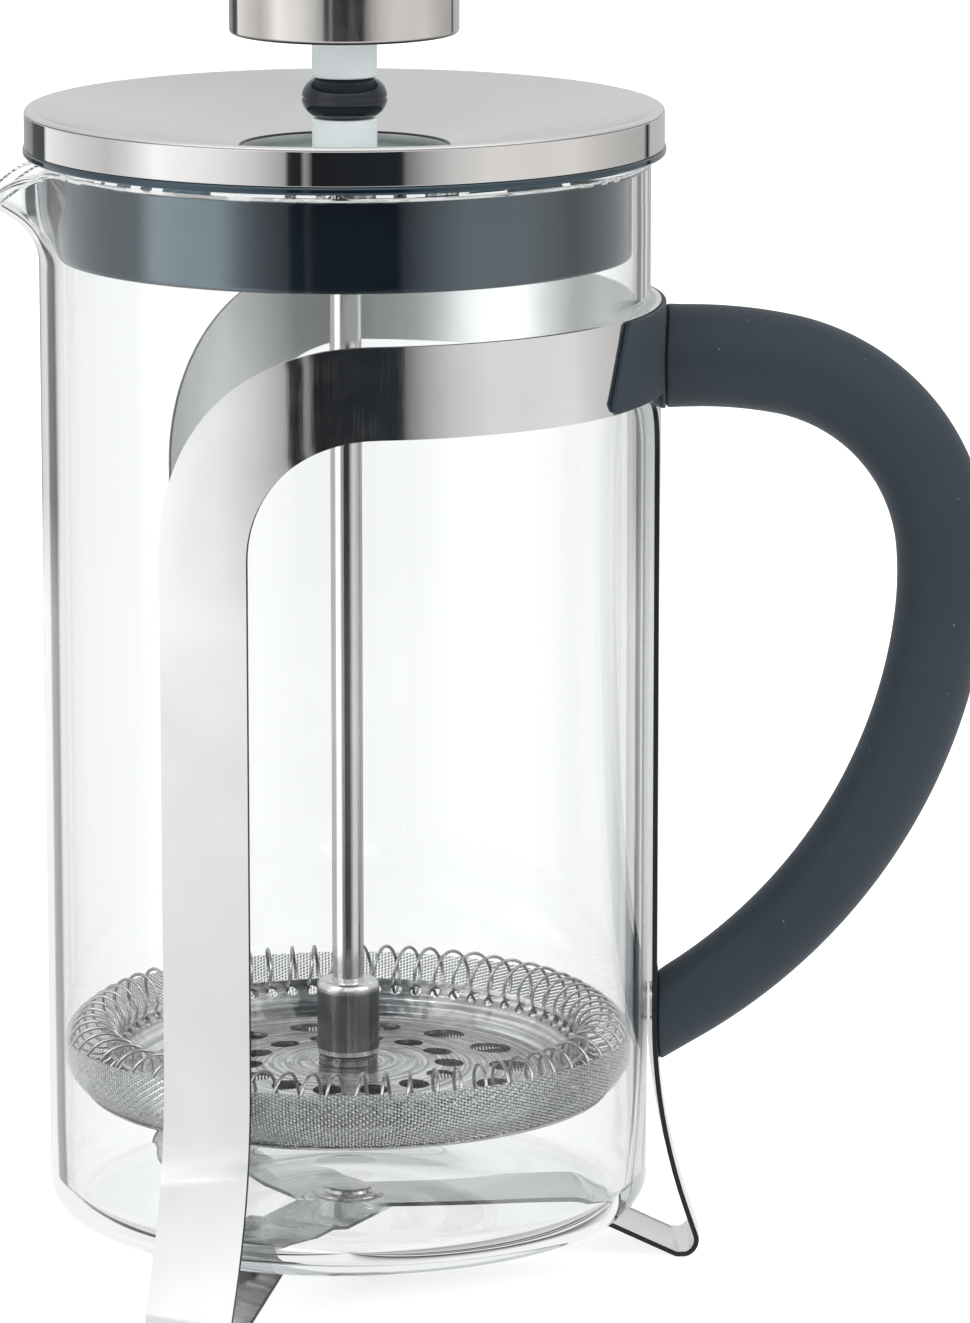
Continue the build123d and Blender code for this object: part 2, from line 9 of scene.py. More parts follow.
import bmesh
import bpy
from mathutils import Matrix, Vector

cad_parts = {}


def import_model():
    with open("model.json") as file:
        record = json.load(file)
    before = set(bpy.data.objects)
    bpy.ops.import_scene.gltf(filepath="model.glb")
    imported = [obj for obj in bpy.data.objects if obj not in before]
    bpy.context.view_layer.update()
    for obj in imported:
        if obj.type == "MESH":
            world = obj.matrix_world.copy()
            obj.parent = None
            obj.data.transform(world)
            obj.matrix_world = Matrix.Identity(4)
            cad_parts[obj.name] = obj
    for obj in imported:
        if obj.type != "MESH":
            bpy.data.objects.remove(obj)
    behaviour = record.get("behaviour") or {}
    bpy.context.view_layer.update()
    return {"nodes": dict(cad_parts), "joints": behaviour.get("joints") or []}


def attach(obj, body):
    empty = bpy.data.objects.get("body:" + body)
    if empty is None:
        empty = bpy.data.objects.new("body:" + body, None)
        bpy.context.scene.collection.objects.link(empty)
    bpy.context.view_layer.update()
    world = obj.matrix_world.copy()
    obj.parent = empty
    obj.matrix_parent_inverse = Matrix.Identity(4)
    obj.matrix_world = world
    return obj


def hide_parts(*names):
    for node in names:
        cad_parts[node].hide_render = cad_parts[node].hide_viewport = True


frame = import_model()

MM = 0.001
AXIS_X = next(j["pos_m"][0] for j in frame["joints"] if j["name"] == "lid_turn")

# Beaker
GLASS_RADIUS = 48.0
GLASS_INNER = 45.7
GLASS_CORNER = 5.6
GLASS_INNER_CORNER = 4.3
GLASS_FLOOR = 2.8
KICK_RADIUS = 34.0
KICK_HEIGHT = 3.6
KICK_INNER_RADIUS = 32.0
KICK_INNER_HEIGHT = 3.0
BEAKER_BASE = 8.15
BEAKER_RIM = 178.1
LIP_LOW = 161.3
LIP_PULL = 9.2
LIP_DROOP = 6.8
LIP_SHOULDER = 0.22
LIP_HALF_WIDTH = 11.5
LIP_NARROWING = 4.2

# Cradle
SHEET = 0.8
BAND_INNER = 48.9
BAND_OUTER = BAND_INNER + SHEET
BAND_LOW = 141.0
BAND_HIGH = 155.2
LEG_HALF = 7.45
LIP_LEG_AZIMUTH = 117.65
ARCH_OUTER = 33.0
ARCH_INNER = 19.0
REAR_FILLET = 9.5
FLARE_TOP = 40.0
FLARE_RADIUS = 100.0
FLARE_ANGLE = 18.7
FOOT_RADIUS = 2.8
FOOT_FLAT = 0.1
ARM_RISE = 25.8
ARM_BEND = 6.0
STRIP_COLUMNS = 10
REAR_COLUMNS = 16

# Handle
HANDLE_HEIGHT = 145.65
HANDLE_START_RADIUS = 8.2
HANDLE_END_RADIUS = 6.25
HANDLE_STRAIGHT = 4.5
COLLAR_LOW_HALF = 29.5
COLLAR_HIGH_HALF = 26.2
COLLAR_CORNER = 1.5
COLLAR_WALL = 0.75
SEAM_GAP = 0.1
HANDLE_BENDS = [(71.0, 11.4), (32.15, 74.15), (59.85, 11.7), (85.6, 54.1)]

# Lid
LID_RADIUS = 50.1
LID_LOW = 179.5
LID_TOP = 185.4
LID_SHEET = 0.6
LID_EDGE_RADIUS = 48.55
WELL_RADIUS = 16.4
WELL_FLOOR = 177.0
LINER_RADIUS = 45.0
LINER_LOW = 162.6
BUSHING_RADIUS = 5.1
BUSHING_TOP = 183.68

# Plunger and knob
ROD_RADIUS = 2.5
ROD_BORE = ROD_RADIUS + 0.05
HUB_LOW = 31.42
HUB_TOP = 45.1
BEAD_HEIGHT = 186.9
BEAD_SIZE = 3.2
KNOB_RADIUS = 18.0
KNOB_LOW = 197.0
KNOB_TOP = 221.0
KNOB_SHEET = 0.8
NECK_LOW = 190.12

# Filter
SCREEN_RADIUS = 45.4
SCREEN_FLOOR = 28.9
SCREEN_TOP = 38.0
SCREEN_PITCH = 1.05
COIL_COUNT = 66
COIL_CENTRE_RADIUS = 40.8
COIL_CENTRE_HEIGHT = 36.2
COIL_RADIUS = 3.95
WIRE_RADIUS = 0.28
COIL_LEAN = 0.08

# Camera: metres from the beaker's axis and the floor, degrees, and mm of lens
CAMERA_PLACE = (-0.022436, -1.081906, 0.3229)
CAMERA_BEARING = -1.05
CAMERA_PAN = -1.3
CAMERA_PITCH = -11.806
CAMERA_LENS = 189.3

# What polished surfaces mirror. Each stop is (place, brightness) or (place, brightness, warmth).
# FLOOR_BANDS and GLASS_BANDS are placed in degrees to the right of the camera's side, the skies by
# the height of a direction, from 0 at the horizon to 1 straight up.
FLOOR_BANDS = [
    (-180, 0.55), (-150, 0.3), (-147, 0.11, -0.08), (-135, 0.09, -0.1), (-133, 1.1, 0.01),
    (-110, 0.85, 0.01), (-92, 0.7), (-82, 0.9), (-70, 1.3), (-60, 1.17), (-44, 1.0), (-33, 0.78),
    (-21.0, 0.46), (-19.6, 0.024, -0.1), (-14.3, 0.024, -0.1), (-13.9, 0.6), (-12.9, 0.6),
    (-12.5, 0.018, -0.12), (19.6, 0.026, -0.14), (20.6, 0.2), (29, 0.5, 0.01), (38, 0.72, 0.015),
    (52, 0.86, 0.02), (70, 0.82, 0.025), (88, 0.85, 0.025), (102, 0.68, 0.025), (120, 0.56, 0.02),
    (134, 0.52, 0.02), (136, 0.04), (138.5, 0.04), (140, 0.6), (180, 0.55)]
GLASS_BANDS = [
    (-180, 0.95), (-158, 0.9, 0.02), (-156.5, 0.02), (-146, 0.02), (-144, 0.75), (-110, 0.6),
    (-88, 0.8), (-79, 2.2), (-50, 2.0), (-42, 0.9), (-33, 0.35), (-22, 0.12), (-20, 0.02),
    (19.6, 0.02), (21, 0.12), (35, 0.55), (48, 0.95), (75, 0.85), (98, 0.3), (140, 0.6),
    (146.5, 0.7), (148, 0.02), (153, 0.02), (154, 0.85), (155.5, 0.85), (156.2, 0.03),
    (159.5, 0.03), (160.5, 0.9), (164, 0.9), (165, 0.06), (169, 0.06), (180, 0.95)]
SOFTBOX_BEARINGS = [(-180, 0), (-79, 0), (-69, 1), (-35, 1), (-25, 0), (180, 0)]
SKY_BEHIND = [(0.0, 0.2), (0.018, 0.2), (0.035, 0.66, -0.01), (0.25, 0.76, -0.012),
              (0.5, 0.7, -0.012), (0.75, 0.9), (1.0, 1.1)]
SKY_FRONT = [(0.0, 0.9), (0.12, 0.72, -0.01), (0.35, 0.78, -0.01), (0.6, 1.5), (1.0, 1.2)]
SKY_SOFTBOX = [(0.0, 1.0), (0.3, 1.3), (0.6, 1.6), (1.0, 1.2)]
FLOOR_NEAR = (0.54, 0.69)
FLOOR_NEAR_SHARE = 0.9
FLOOR_NEAR_RISE = (0.35, 0.6)
FLOOR_NEAR_LEVELS = (0.95, 1.12)

# Soft lamps: (name, place, size, power)
LAMPS = [("key", (-0.9, -0.9, 1.3), 0.9, 7.0), ("fill", (1.1, -0.6, 0.9), 0.8, 4.0)]
LAMP_AIM_HEIGHT = 0.11


# ---- Mesh helpers


def polar(radius, azimuth, height):
    """Point of the row frame, in metres, from a radius and height in mm and an azimuth in radians."""
    return (AXIS_X + radius * cos(azimuth) * MM, radius * sin(azimuth) * MM, height * MM)


def link(name, data):
    thing = bpy.data.objects.new(name, data)
    bpy.context.scene.collection.objects.link(thing)
    return thing


def new_mesh(name, points, faces, closed=True):
    mesh = bpy.data.meshes.new(name)
    mesh.from_pydata(points, [], faces)
    mesh.validate()
    if closed:
        work = bmesh.new()
        work.from_mesh(mesh)
        bmesh.ops.recalc_face_normals(work, faces=work.faces)
        work.to_mesh(mesh)
        work.free()
    mesh.polygons.foreach_set("use_smooth", [True] * len(mesh.polygons))
    return link(name, mesh)


def weld(piece, distance):
    work = bmesh.new()
    work.from_mesh(piece.data)
    bmesh.ops.remove_doubles(work, verts=work.verts, dist=distance * MM)
    work.to_mesh(piece.data)
    work.free()


def finish_piece(piece, body, nodes, material, weighted=True):
    piece.data.materials.append(material)
    if weighted:
        modifier = piece.modifiers.new("normals", "WEIGHTED_NORMAL")
        modifier.keep_sharp = True
        modifier.weight = 80
    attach(piece, body)
    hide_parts(*nodes)


def rounded(corners, steps=5):
    """Closed outline from (radius, height, fillet) corners, each fillet turned into a short arc."""
    outline = []
    count = len(corners)
    for i, (x, y, fillet) in enumerate(corners):
        here = Vector((x, y))
        if not fillet:
            outline.append((x, y))
            continue
        before = Vector(corners[i - 1][:2]) - here
        after = Vector(corners[(i + 1) % count][:2]) - here
        half = before.angle(after) / 2
        reach = min(fillet / tan(half), before.length * 0.49, after.length * 0.49)
        start, end = here + before.normalized() * reach, here + after.normalized() * reach
        centre = here + (before.normalized() + after.normalized()).normalized() * (reach / cos(half))
        radius = (start - centre).length
        for k in range(steps + 1):
            p = start.lerp(end, k / steps) - centre
            p = centre + p.normalized() * radius
            outline.append((p.x, p.y))
    return outline


def arc(x, y, radius, start, end, steps):
    """Outline points of an arc round (x, y), from start to end in degrees."""
    turns = [radians(start + (end - start) * k / steps) for k in range(steps + 1)]
    return [(x + radius * cos(a), y + radius * sin(a)) for a in turns]


def bridge(a, b, sides):
    """Quads between two rings of points that start at a and b."""
    return [[a + k, a + (k + 1) % sides, b + (k + 1) % sides, b + k] for k in range(sides)]


def lathe(name, outline, azimuths, warp=None):
    """Solid of revolution of a closed (radius, height) outline, at even azimuths or listed ones; points
    on the axis become poles."""
    if isinstance(azimuths, int):
        azimuths = [2 * pi * k / azimuths for k in range(azimuths)]
    segments = len(azimuths)
    points, rings, faces = [], [], []
    for radius, height in outline:
        if radius < 1e-4:
            rings.append([len(points)] * segments)
            points.append(polar(0, 0, height))
            continue
        rings.append(list(range(len(points), len(points) + segments)))
        for azimuth in azimuths:
            r, z = warp(radius, azimuth, height) if warp else (radius, height)
            points.append(polar(r, azimuth, z))
    for a, b in zip(rings, rings[1:] + rings[:1]):
        for k in range(segments):
            face = [a[k], a[(k + 1) % segments], b[(k + 1) % segments], b[k]]
            face = list(dict.fromkeys(face))
            if len(face) > 2:
                faces.append(face)
    return new_mesh(name, points, faces)


def closed_tube(name, stations, sides, radius):
    """Round tube of a radius in mm through a ring of (centre, outward unit, side unit)."""
    points, faces = [], []
    for centre, outward, side in stations:
        for k in range(sides):
            turn = 2 * pi * k / sides
            points.append(centre + (outward * cos(turn) + side * sin(turn)) * radius * MM)
    for i in range(len(stations)):
        faces += bridge(i * sides, (i + 1) % len(stations) * sides, sides)
    return new_mesh(name, [tuple(p) for p in points], faces)


# ---- Materials


class Shader:
    """Node tree of one material or world, with short calls for the few node kinds used here."""

    def __init__(self, name, world=None):
        self.material = world or bpy.data.materials.new(name)
        self.material.use_nodes = True
        self.tree = self.material.node_tree
        self.tree.nodes.clear()
        self.output = self.tree.nodes.new("ShaderNodeOutputWorld" if world else "ShaderNodeOutputMaterial")
        self.place = self.node("ShaderNodeTexCoord").outputs["Generated" if world else "Object"]

    def node(self, kind, inputs=(), **settings):
        node = self.tree.nodes.new(kind)
        for key, value in settings.items():
            setattr(node, key, value)
        for key, value in dict(inputs).items():
            if isinstance(value, bpy.types.NodeSocket):
                self.tree.links.new(value, node.inputs[key])
            else:
                node.inputs[key].default_value = value
        return node

    def math(self, operation, *values):
        return self.node("ShaderNodeMath", enumerate(values), operation=operation).outputs[0]

    def plus(self, first, second):
        return self.math("ADD", first, second)

    def times(self, first, second):
        return self.math("MULTIPLY", first, second)

    def minus(self, first, second):
        return self.math("SUBTRACT", first, second)

    def stretched(self, scale):
        return self.node("ShaderNodeMapping", {"Vector": self.place, "Scale": scale}).outputs[0]

    def noise(self, scale, detail, vector=None, roughness=0.5):
        node = self.node("ShaderNodeTexNoise", {"Vector": vector or self.place, "Scale": scale,
                                                "Detail": detail, "Roughness": roughness})
        return node.outputs["Fac"]

    def span(self, value, low, high, source=(0.3, 0.7)):
        node = self.node("ShaderNodeMapRange", {"Value": value, "From Min": source[0], "From Max": source[1],
                                                "To Min": low, "To Max": high})
        return node.outputs[0]

    def blend(self, factor, first, second):
        node = self.node("ShaderNodeMix", {"Factor": factor, "A": first, "B": second}, data_type="RGBA")
        return node.outputs["Result"]

    def bump(self, height, strength, distance):
        node = self.node("ShaderNodeBump", {"Height": height, "Strength": strength, "Distance": distance})
        return node.outputs[0]

    def principled(self, **inputs):
        named = {key.replace("_", " "): value for key, value in inputs.items()}
        return self.node("ShaderNodeBsdfPrincipled", named)

    def metal(self, colour, rough, normal):
        return self.done(self.principled(Base_Color=colour, Metallic=1.0, Roughness=rough, Normal=normal))

    def cylinder(self):
        """Radius, azimuth and height about the beaker's axis, in metres and radians."""
        split = self.node("ShaderNodeSeparateXYZ", {"Vector": self.place})
        x = self.minus(split.outputs[0], AXIS_X)
        y = split.outputs[1]
        radius = self.math("SQRT", self.plus(self.times(x, x), self.times(y, y)))
        return radius, self.math("ARCTAN2", y, x), split.outputs[2]

    def facing(self, azimuth):
        """The surface normal's parts away from the beaker's axis, round it and up."""
        geometry = self.node("ShaderNodeNewGeometry")
        nx, ny, nz = self.node("ShaderNodeSeparateXYZ", {"Vector": geometry.outputs["Normal"]}).outputs
        east, north = self.math("COSINE", azimuth), self.math("SINE", azimuth)
        outward = self.plus(self.times(nx, east), self.times(ny, north))
        around = self.minus(self.times(ny, east), self.times(nx, north))
        return outward, around, nz

    def fade(self, value, full, none):
        """1 where a length reaches full, in mm, sinking to 0 at none."""
        return self.span(value, 1, 0, (full * MM, none * MM))

    def stripe(self, value, middle, half):
        """1 where a length is within half of middle, in mm, and 0 elsewhere."""
        away = self.math("ABSOLUTE", self.minus(value, middle * MM))
        return self.math("LESS_THAN", away, half * MM)

    def ramp(self, value, stops):
        """Colour ramp through (place, level) or (place, level, warmth) stops."""
        node = self.node("ShaderNodeValToRGB", {"Fac": value})
        elements = node.color_ramp.elements
        for k, (place, *shade) in enumerate(stops):
            if k > 1:
                elements.new(place)
            elements[k].position = place
            elements[k].color = grey(*shade)
        return node.outputs[0]

    def bearing_ramp(self, azimuth, stops):
        """Colour ramp whose stops are placed in degrees to the right of the camera's side."""
        turn = self.math("FRACT", self.plus(self.math("DIVIDE", azimuth, 2 * pi),
                                            0.75 - CAMERA_BEARING / 360))
        return self.ramp(turn, [(degrees_right / 360 + 0.5, *rest) for degrees_right, *rest in stops])

    def done(self, shader):
        self.tree.links.new(shader.outputs[0], self.output.inputs["Surface"])
        return self.material


def grey(value, warmth=0.0):
    return (value * (1 + warmth), value, value * (1 - warmth), 1)


def cradle_steel():
    """Bright rolled strip: a mirror with faint rubbed marks along it, satin and painted lighter on its inner
    side, with painted shade on its thin edges except those that face up."""
    s = Shader("cradle_steel")
    _, azimuth, height = s.cylinder()
    outward, around, upward = s.facing(azimuth)
    inside = s.span(outward, 1, 0, (-0.9, -0.6))
    # Painted shade: the cut side edges, and above the foot the band's edges that do not face up, are coloured
    # near black
    side = s.span(s.math("ABSOLUTE", around), 0, 1, (0.4, 0.65))
    above_foot = s.math("GREATER_THAN", height, (FLARE_TOP + 5) * MM)
    brim = s.times(above_foot, s.span(s.math("ABSOLUTE", outward), 1, 0, (0.6, 0.85)))
    brim = s.times(brim, s.span(upward, 1, 0, (0.25, 0.6)))
    shaded_edges = s.math("MAXIMUM", side, brim)
    fine = s.noise(1.0, 4, s.stretched((2600, 2600, 110)))
    broad = s.noise(48, 2)
    rubbed = s.noise(210, 4, roughness=0.65)
    polished = s.blend(s.span(broad, 0, 1), grey(0.74, -0.006), grey(0.82, -0.006))
    # Partly real, partly painted light: the inner face is satin, and its colour is painted lighter than the
    # outer steel's
    colour = s.blend(shaded_edges, s.blend(inside, polished, grey(0.94)), grey(0.035, -0.05))
    rough = s.plus(s.span(fine, 0.03, 0.075), s.span(rubbed, 0.0, 0.045))
    rough = s.plus(rough, s.times(s.plus(shaded_edges, inside), 0.27))
    return s.metal(colour, rough, s.bump(s.plus(s.times(fine, 0.4), broad), 0.035, 0.0002))


def lid_steel():
    """Pressed lid: turned satin top with fine rings, a duller well in painted shade and a bright skirt."""
    s = Shader("lid_steel")
    radius, azimuth, height = s.cylinder()
    ring = s.node("ShaderNodeCombineXYZ", {"X": s.times(radius, 9000.0),
                                           "Y": s.times(azimuth, 2.2)}).outputs[0]
    rings = s.noise(1.0, 3, ring)
    top = s.fade(radius, LID_EDGE_RADIUS - 0.45, LID_EDGE_RADIUS + 0.35)
    well = s.fade(radius, WELL_RADIUS - 0.4, WELL_RADIUS + 0.2)
    smudge = s.noise(38, 3)
    satin = s.span(s.plus(rings, smudge), 0.17, 0.25, (0.7, 1.3))
    bright = s.span(smudge, 0.02, 0.05)
    rough = s.plus(s.times(top, satin), s.times(s.minus(1.0, top), bright))
    rough = s.plus(rough, s.times(well, 0.3))
    # Painted shade: the well is given a dark greenish, less metallic colour; its extra roughness is real
    solid = s.minus(1.0, s.times(well, 0.75))
    steel = s.blend(s.span(smudge, 0, 1), grey(0.70, 0.006), grey(0.76, 0.012))
    colour = s.blend(well, steel, (0.24, 0.30, 0.28, 1))
    # Painted shade: dark lines at the well's crease and just below the top's outer edge
    crease_shade = s.stripe(radius, WELL_RADIUS + 0.08, 0.16)
    edge = s.times(s.stripe(height, LID_TOP - 0.38, 0.09), s.minus(1.0, top))
    colour = s.blend(s.math("MAXIMUM", crease_shade, s.times(edge, 0.7)), colour, grey(0.05))
    return s.done(s.principled(Base_Color=colour, Metallic=solid, Roughness=rough,
                               Normal=s.bump(s.times(rings, top), 0.02, 0.0001)))


def drawn_steel(name, tone, low, high, lines, strength):
    """Turned or drawn steel with fine lines."""
    s = Shader(name)
    fine = s.noise(1.0, 4, s.stretched(lines))
    broad = s.noise(70, 2)
    colour = s.blend(s.span(broad, 0, 1), grey(tone, 0.02), grey(tone * 1.12, 0.01))
    rough = s.plus(s.span(fine, low, high), s.span(broad, 0, 0.05))
    return s.metal(colour, rough, s.bump(fine, strength, 0.0002))


def knob_steel():
    """Bright drawn cup with painted shade on its rolled lower edge."""
    s = Shader("knob_steel")
    height = s.cylinder()[2]
    fine = s.noise(1.0, 4, s.stretched((900, 900, 60)))
    broad = s.noise(70, 2)
    # Painted shade: the underside of the rolled lower edge is coloured near black
    brim = s.fade(height, KNOB_LOW + 0.3, KNOB_LOW + 0.6)
    polished = s.blend(s.span(broad, 0, 1), grey(0.60, 0.035), grey(0.68, 0.025))
    colour = s.blend(brim, polished, grey(0.02))
    rough = s.plus(s.span(fine, 0.05, 0.10), s.span(broad, 0, 0.05))
    return s.metal(colour, rough, s.bump(fine, 0.04, 0.0002))


def brushed_hub():
    """Dark turned hub: upright tool marks, a polished shoulder and a polished foot ring."""
    s = Shader("brushed_hub")
    height = s.cylinder()[2]
    marks = s.noise(1.0, 2, s.stretched((900, 900, 9)))
    broad = s.noise(260, 2)
    shoulder = s.fade(height, HUB_TOP - 1.4, HUB_TOP - 1.9)
    ring = s.stripe(height, HUB_LOW + 2.18, 0.35)
    groove = s.stripe(height, HUB_LOW + 1.63, 0.18)
    body = s.blend(s.span(s.plus(marks, s.times(broad, 0.5)), 0, 1, (0.5, 1.0)),
                   grey(0.09), grey(0.36, 0.01))
    colour = s.blend(s.math("MAXIMUM", shoulder, ring), body, grey(0.82, 0.01))
    # Painted shade: a near-black line in the groove above the foot
    colour = s.blend(groove, colour, grey(0.02))
    return s.metal(colour, s.span(marks, 0.16, 0.3), s.bump(marks, 0.04, 0.0002))


def spun_plate():
    """Spun plate: rings of tool marks over a bright, slightly uneven sheet."""
    s = Shader("spun_plate")
    radius, azimuth, _ = s.cylinder()
    groove = s.node("ShaderNodeCombineXYZ", {"X": s.times(radius, 1500.0),
                                             "Y": s.times(azimuth, 0.8)}).outputs[0]
    rings = s.noise(1.0, 3, groove)
    dents = s.noise(190, 2)
    colour = s.blend(s.span(rings, 0, 1, (0.36, 0.64)), grey(0.30), grey(0.9, 0.004))
    rough = s.plus(s.span(rings, 0.12, 0.22), s.span(dents, 0, 0.08))
    return s.metal(colour, rough, s.bump(s.plus(rings, s.times(dents, 3.0)), 0.35, 0.0003))


def coil_wire():
    """Bright drawn spring wire."""
    s = Shader("coil_wire")
    fine = s.noise(900, 3)
    colour = s.blend(s.span(fine, 0, 1), grey(0.36, 0.0), grey(0.54, 0.0))
    return s.metal(colour, s.span(fine, 0.04, 0.09), s.bump(fine, 0.05, 0.0001))


def soft_touch():
    """Matte rubberised lacquer: fine orange peel and a few specks of dust."""
    s = Shader("soft_touch_lacquer")
    peel = s.noise(2600, 3)
    broad = s.noise(30, 3)
    dust = s.noise(700, 2, roughness=0.7)
    speck = s.span(dust, 0, 1, (0.735, 0.76))
    base = s.blend(s.span(broad, 0, 1), (0.0085, 0.0185, 0.029, 1), (0.0125, 0.0235, 0.035, 1))
    colour = s.blend(speck, base, (0.09, 0.10, 0.11, 1))
    rough = s.plus(s.span(peel, 0.50, 0.62), s.span(broad, 0, 0.05))
    return s.done(s.principled(Base_Color=colour, Roughness=rough, Specular_IOR_Level=0.45,
                               Sheen_Weight=0.05, Sheen_Roughness=0.4,
                               Normal=s.bump(peel, 0.12, 0.0001)))


def gloss_plastic():
    """Polished dark plastic of the lid liner."""
    s = Shader("liner_gloss_plastic")
    flow = s.noise(45, 2, s.stretched((1, 1, 0.3)))
    dust = s.noise(900, 2, roughness=0.7)
    colour = s.blend(s.span(flow, 0, 1), (0.0035, 0.006, 0.010, 1), (0.006, 0.010, 0.015, 1))
    rough = s.plus(s.span(flow, 0.03, 0.07), s.span(dust, 0, 0.1, (0.66, 0.75)))
    return s.done(s.principled(Base_Color=colour, Roughness=rough, IOR=1.6, Specular_IOR_Level=0.9,
                               Specular_Tint=(0.57, 0.83, 1.0, 1), Normal=s.bump(flow, 0.03, 0.0004)))


def rubber():
    s = Shader("bead_rubber")
    fine = s.noise(1800, 3)
    broad = s.noise(120, 2)
    colour = s.blend(s.span(broad, 0, 1), (0.005, 0.008, 0.013, 1), (0.010, 0.015, 0.022, 1))
    rough = s.plus(s.span(fine, 0.08, 0.13), s.span(broad, 0, 0.05))
    return s.done(s.principled(Base_Color=colour, Roughness=rough, Specular_IOR_Level=0.45,
                               Normal=s.bump(fine, 0.06, 0.0001)))


def milky_plastic():
    """Natural white plastic, slightly see-through."""
    s = Shader("milky_plastic")
    cloud = s.noise(160, 3)
    fine = s.noise(2400, 2)
    colour = s.blend(s.span(cloud, 0, 1), (0.80, 0.87, 0.90, 1), (0.88, 0.93, 0.95, 1))
    rough = s.span(fine, 0.26, 0.36)
    return s.done(s.principled(Base_Color=colour, Roughness=rough, Subsurface_Weight=0.35,
                               Subsurface_Radius=(0.9, 1.0, 1.1), Subsurface_Scale=0.002,
                               Specular_IOR_Level=0.45, Normal=s.bump(fine, 0.05, 0.0001)))


def clear_glass():
    """Blown borosilicate with faint waviness. It lets lamps through, and a path that has already been
    bent or mirrored three times goes straight on instead of being lost in the wall."""
    s = Shader("clear_glass")
    wave = s.noise(26, 1, s.stretched((1, 1, 0.45)))
    streak = s.noise(1.0, 2, s.stretched((160, 160, 9)))
    calm = s.fade(s.cylinder()[2], BEAKER_RIM - 14.1, BEAKER_RIM - 7.1)
    height = s.times(s.plus(wave, s.times(streak, 0.05)), calm)
    film = s.span(streak, 0.002, 0.006)
    normal = s.bump(height, 0.10, 0.0006)
    glass = s.principled(Base_Color=(0.945, 0.955, 0.955, 1), Roughness=film, IOR=1.47,
                         Transmission_Weight=1.0, Normal=normal)
    clear = s.node("ShaderNodeBsdfTransparent", {"Color": (0.97, 0.98, 0.98, 1)})
    path = s.node("ShaderNodeLightPath")
    lamps = s.math("MAXIMUM", path.outputs["Is Shadow Ray"], path.outputs["Is Diffuse Ray"])
    spent = s.math("GREATER_THAN", path.outputs["Glossy Depth"], 2.5)
    through = s.math("MAXIMUM", lamps, spent)
    mix = s.node("ShaderNodeMixShader", {0: through, 1: glass.outputs[0], 2: clear.outputs[0]})
    return s.done(mix)


def woven_screen():
    """Woven wire cloth: threads at right angles with fine open holes, finer to look out through from
    the inside of its wall, and its floor under the plate painted dark as shade."""
    s = Shader("woven_wire_cloth")
    radius, azimuth, height = s.cylinder()
    split = s.node("ShaderNodeSeparateXYZ", {"Vector": s.place})
    wall = s.math("GREATER_THAN", radius, 42.1 * MM)
    floor = s.minus(1.0, wall)
    around = s.times(azimuth, (SCREEN_RADIUS - 0.9) * MM)
    u = s.plus(s.times(wall, around), s.times(floor, split.outputs[0]))
    v = s.plus(s.times(wall, s.plus(height, s.times(around, 0.35))),
               s.times(floor, split.outputs[1]))
    waves = [s.math("SINE", s.times(axis, 2 * pi / (SCREEN_PITCH * MM))) for axis in (u, v)]
    weave = s.times(waves[0], waves[1])
    grid = s.plus(s.math("ABSOLUTE", waves[0]), s.math("ABSOLUTE", waves[1]))
    patches = s.noise(1700, 2, roughness=0.6)
    tone = s.plus(s.times(s.span(grid, 0, 1, (1.0, 1.8)), 0.75),
                  s.times(s.span(patches, 0, 1, (0.4, 0.6)), 0.25))
    colour = s.blend(tone, grey(0.10, -0.02), grey(0.95, -0.01))
    # Painted shade: the floor under the plate is darkened almost to black
    colour = s.blend(s.times(floor, 0.9), colour, grey(0.03))
    inner = s.times(wall, s.math("LESS_THAN", s.facing(azimuth)[0], -0.2))
    open_level = s.plus(1.25, s.times(inner, 0.34))
    open_share = s.math("GREATER_THAN", s.plus(grid, s.times(patches, 0.3)), open_level)
    return s.done(s.principled(Base_Color=colour, Metallic=0.9, Roughness=s.span(patches, 0.22, 0.36),
                               Alpha=open_share,
                               Normal=s.bump(s.plus(weave, grid), 0.85, 0.00022)))


def brass():
    s = Shader("machined_brass")
    fine = s.noise(1500, 3)
    colour = s.blend(s.span(fine, 0, 1), (0.62, 0.45, 0.19, 1), (0.74, 0.56, 0.26, 1))
    return s.metal(colour, s.span(fine, 0.22, 0.34), s.bump(fine, 0.1, 0.0001))


# ---- Beaker


def lip_warp(radius, azimuth, height):
    """Pulls the wall's top outwards and down into the pouring lip, around azimuth 180."""
    if height < LIP_LOW or radius < 40:
        return radius, height
    t = (height - LIP_LOW) / (BEAKER_RIM - LIP_LOW)
    side = abs(radius * sin(azimuth)) if cos(azimuth) < 0 else 99.0
    width = LIP_HALF_WIDTH - LIP_NARROWING * t
    across = 1 / (1 + (side / width) ** 4)
    across = max(0.0, (across - 0.02) / 0.98)
    pull = t * t * (1.6 - 0.6 * t)
    drop = LIP_SHOULDER * min(1.0, across * 5) + (1 - LIP_SHOULDER) * across ** 2
    return radius + LIP_PULL * across * pull, height - LIP_DROOP * drop * pull


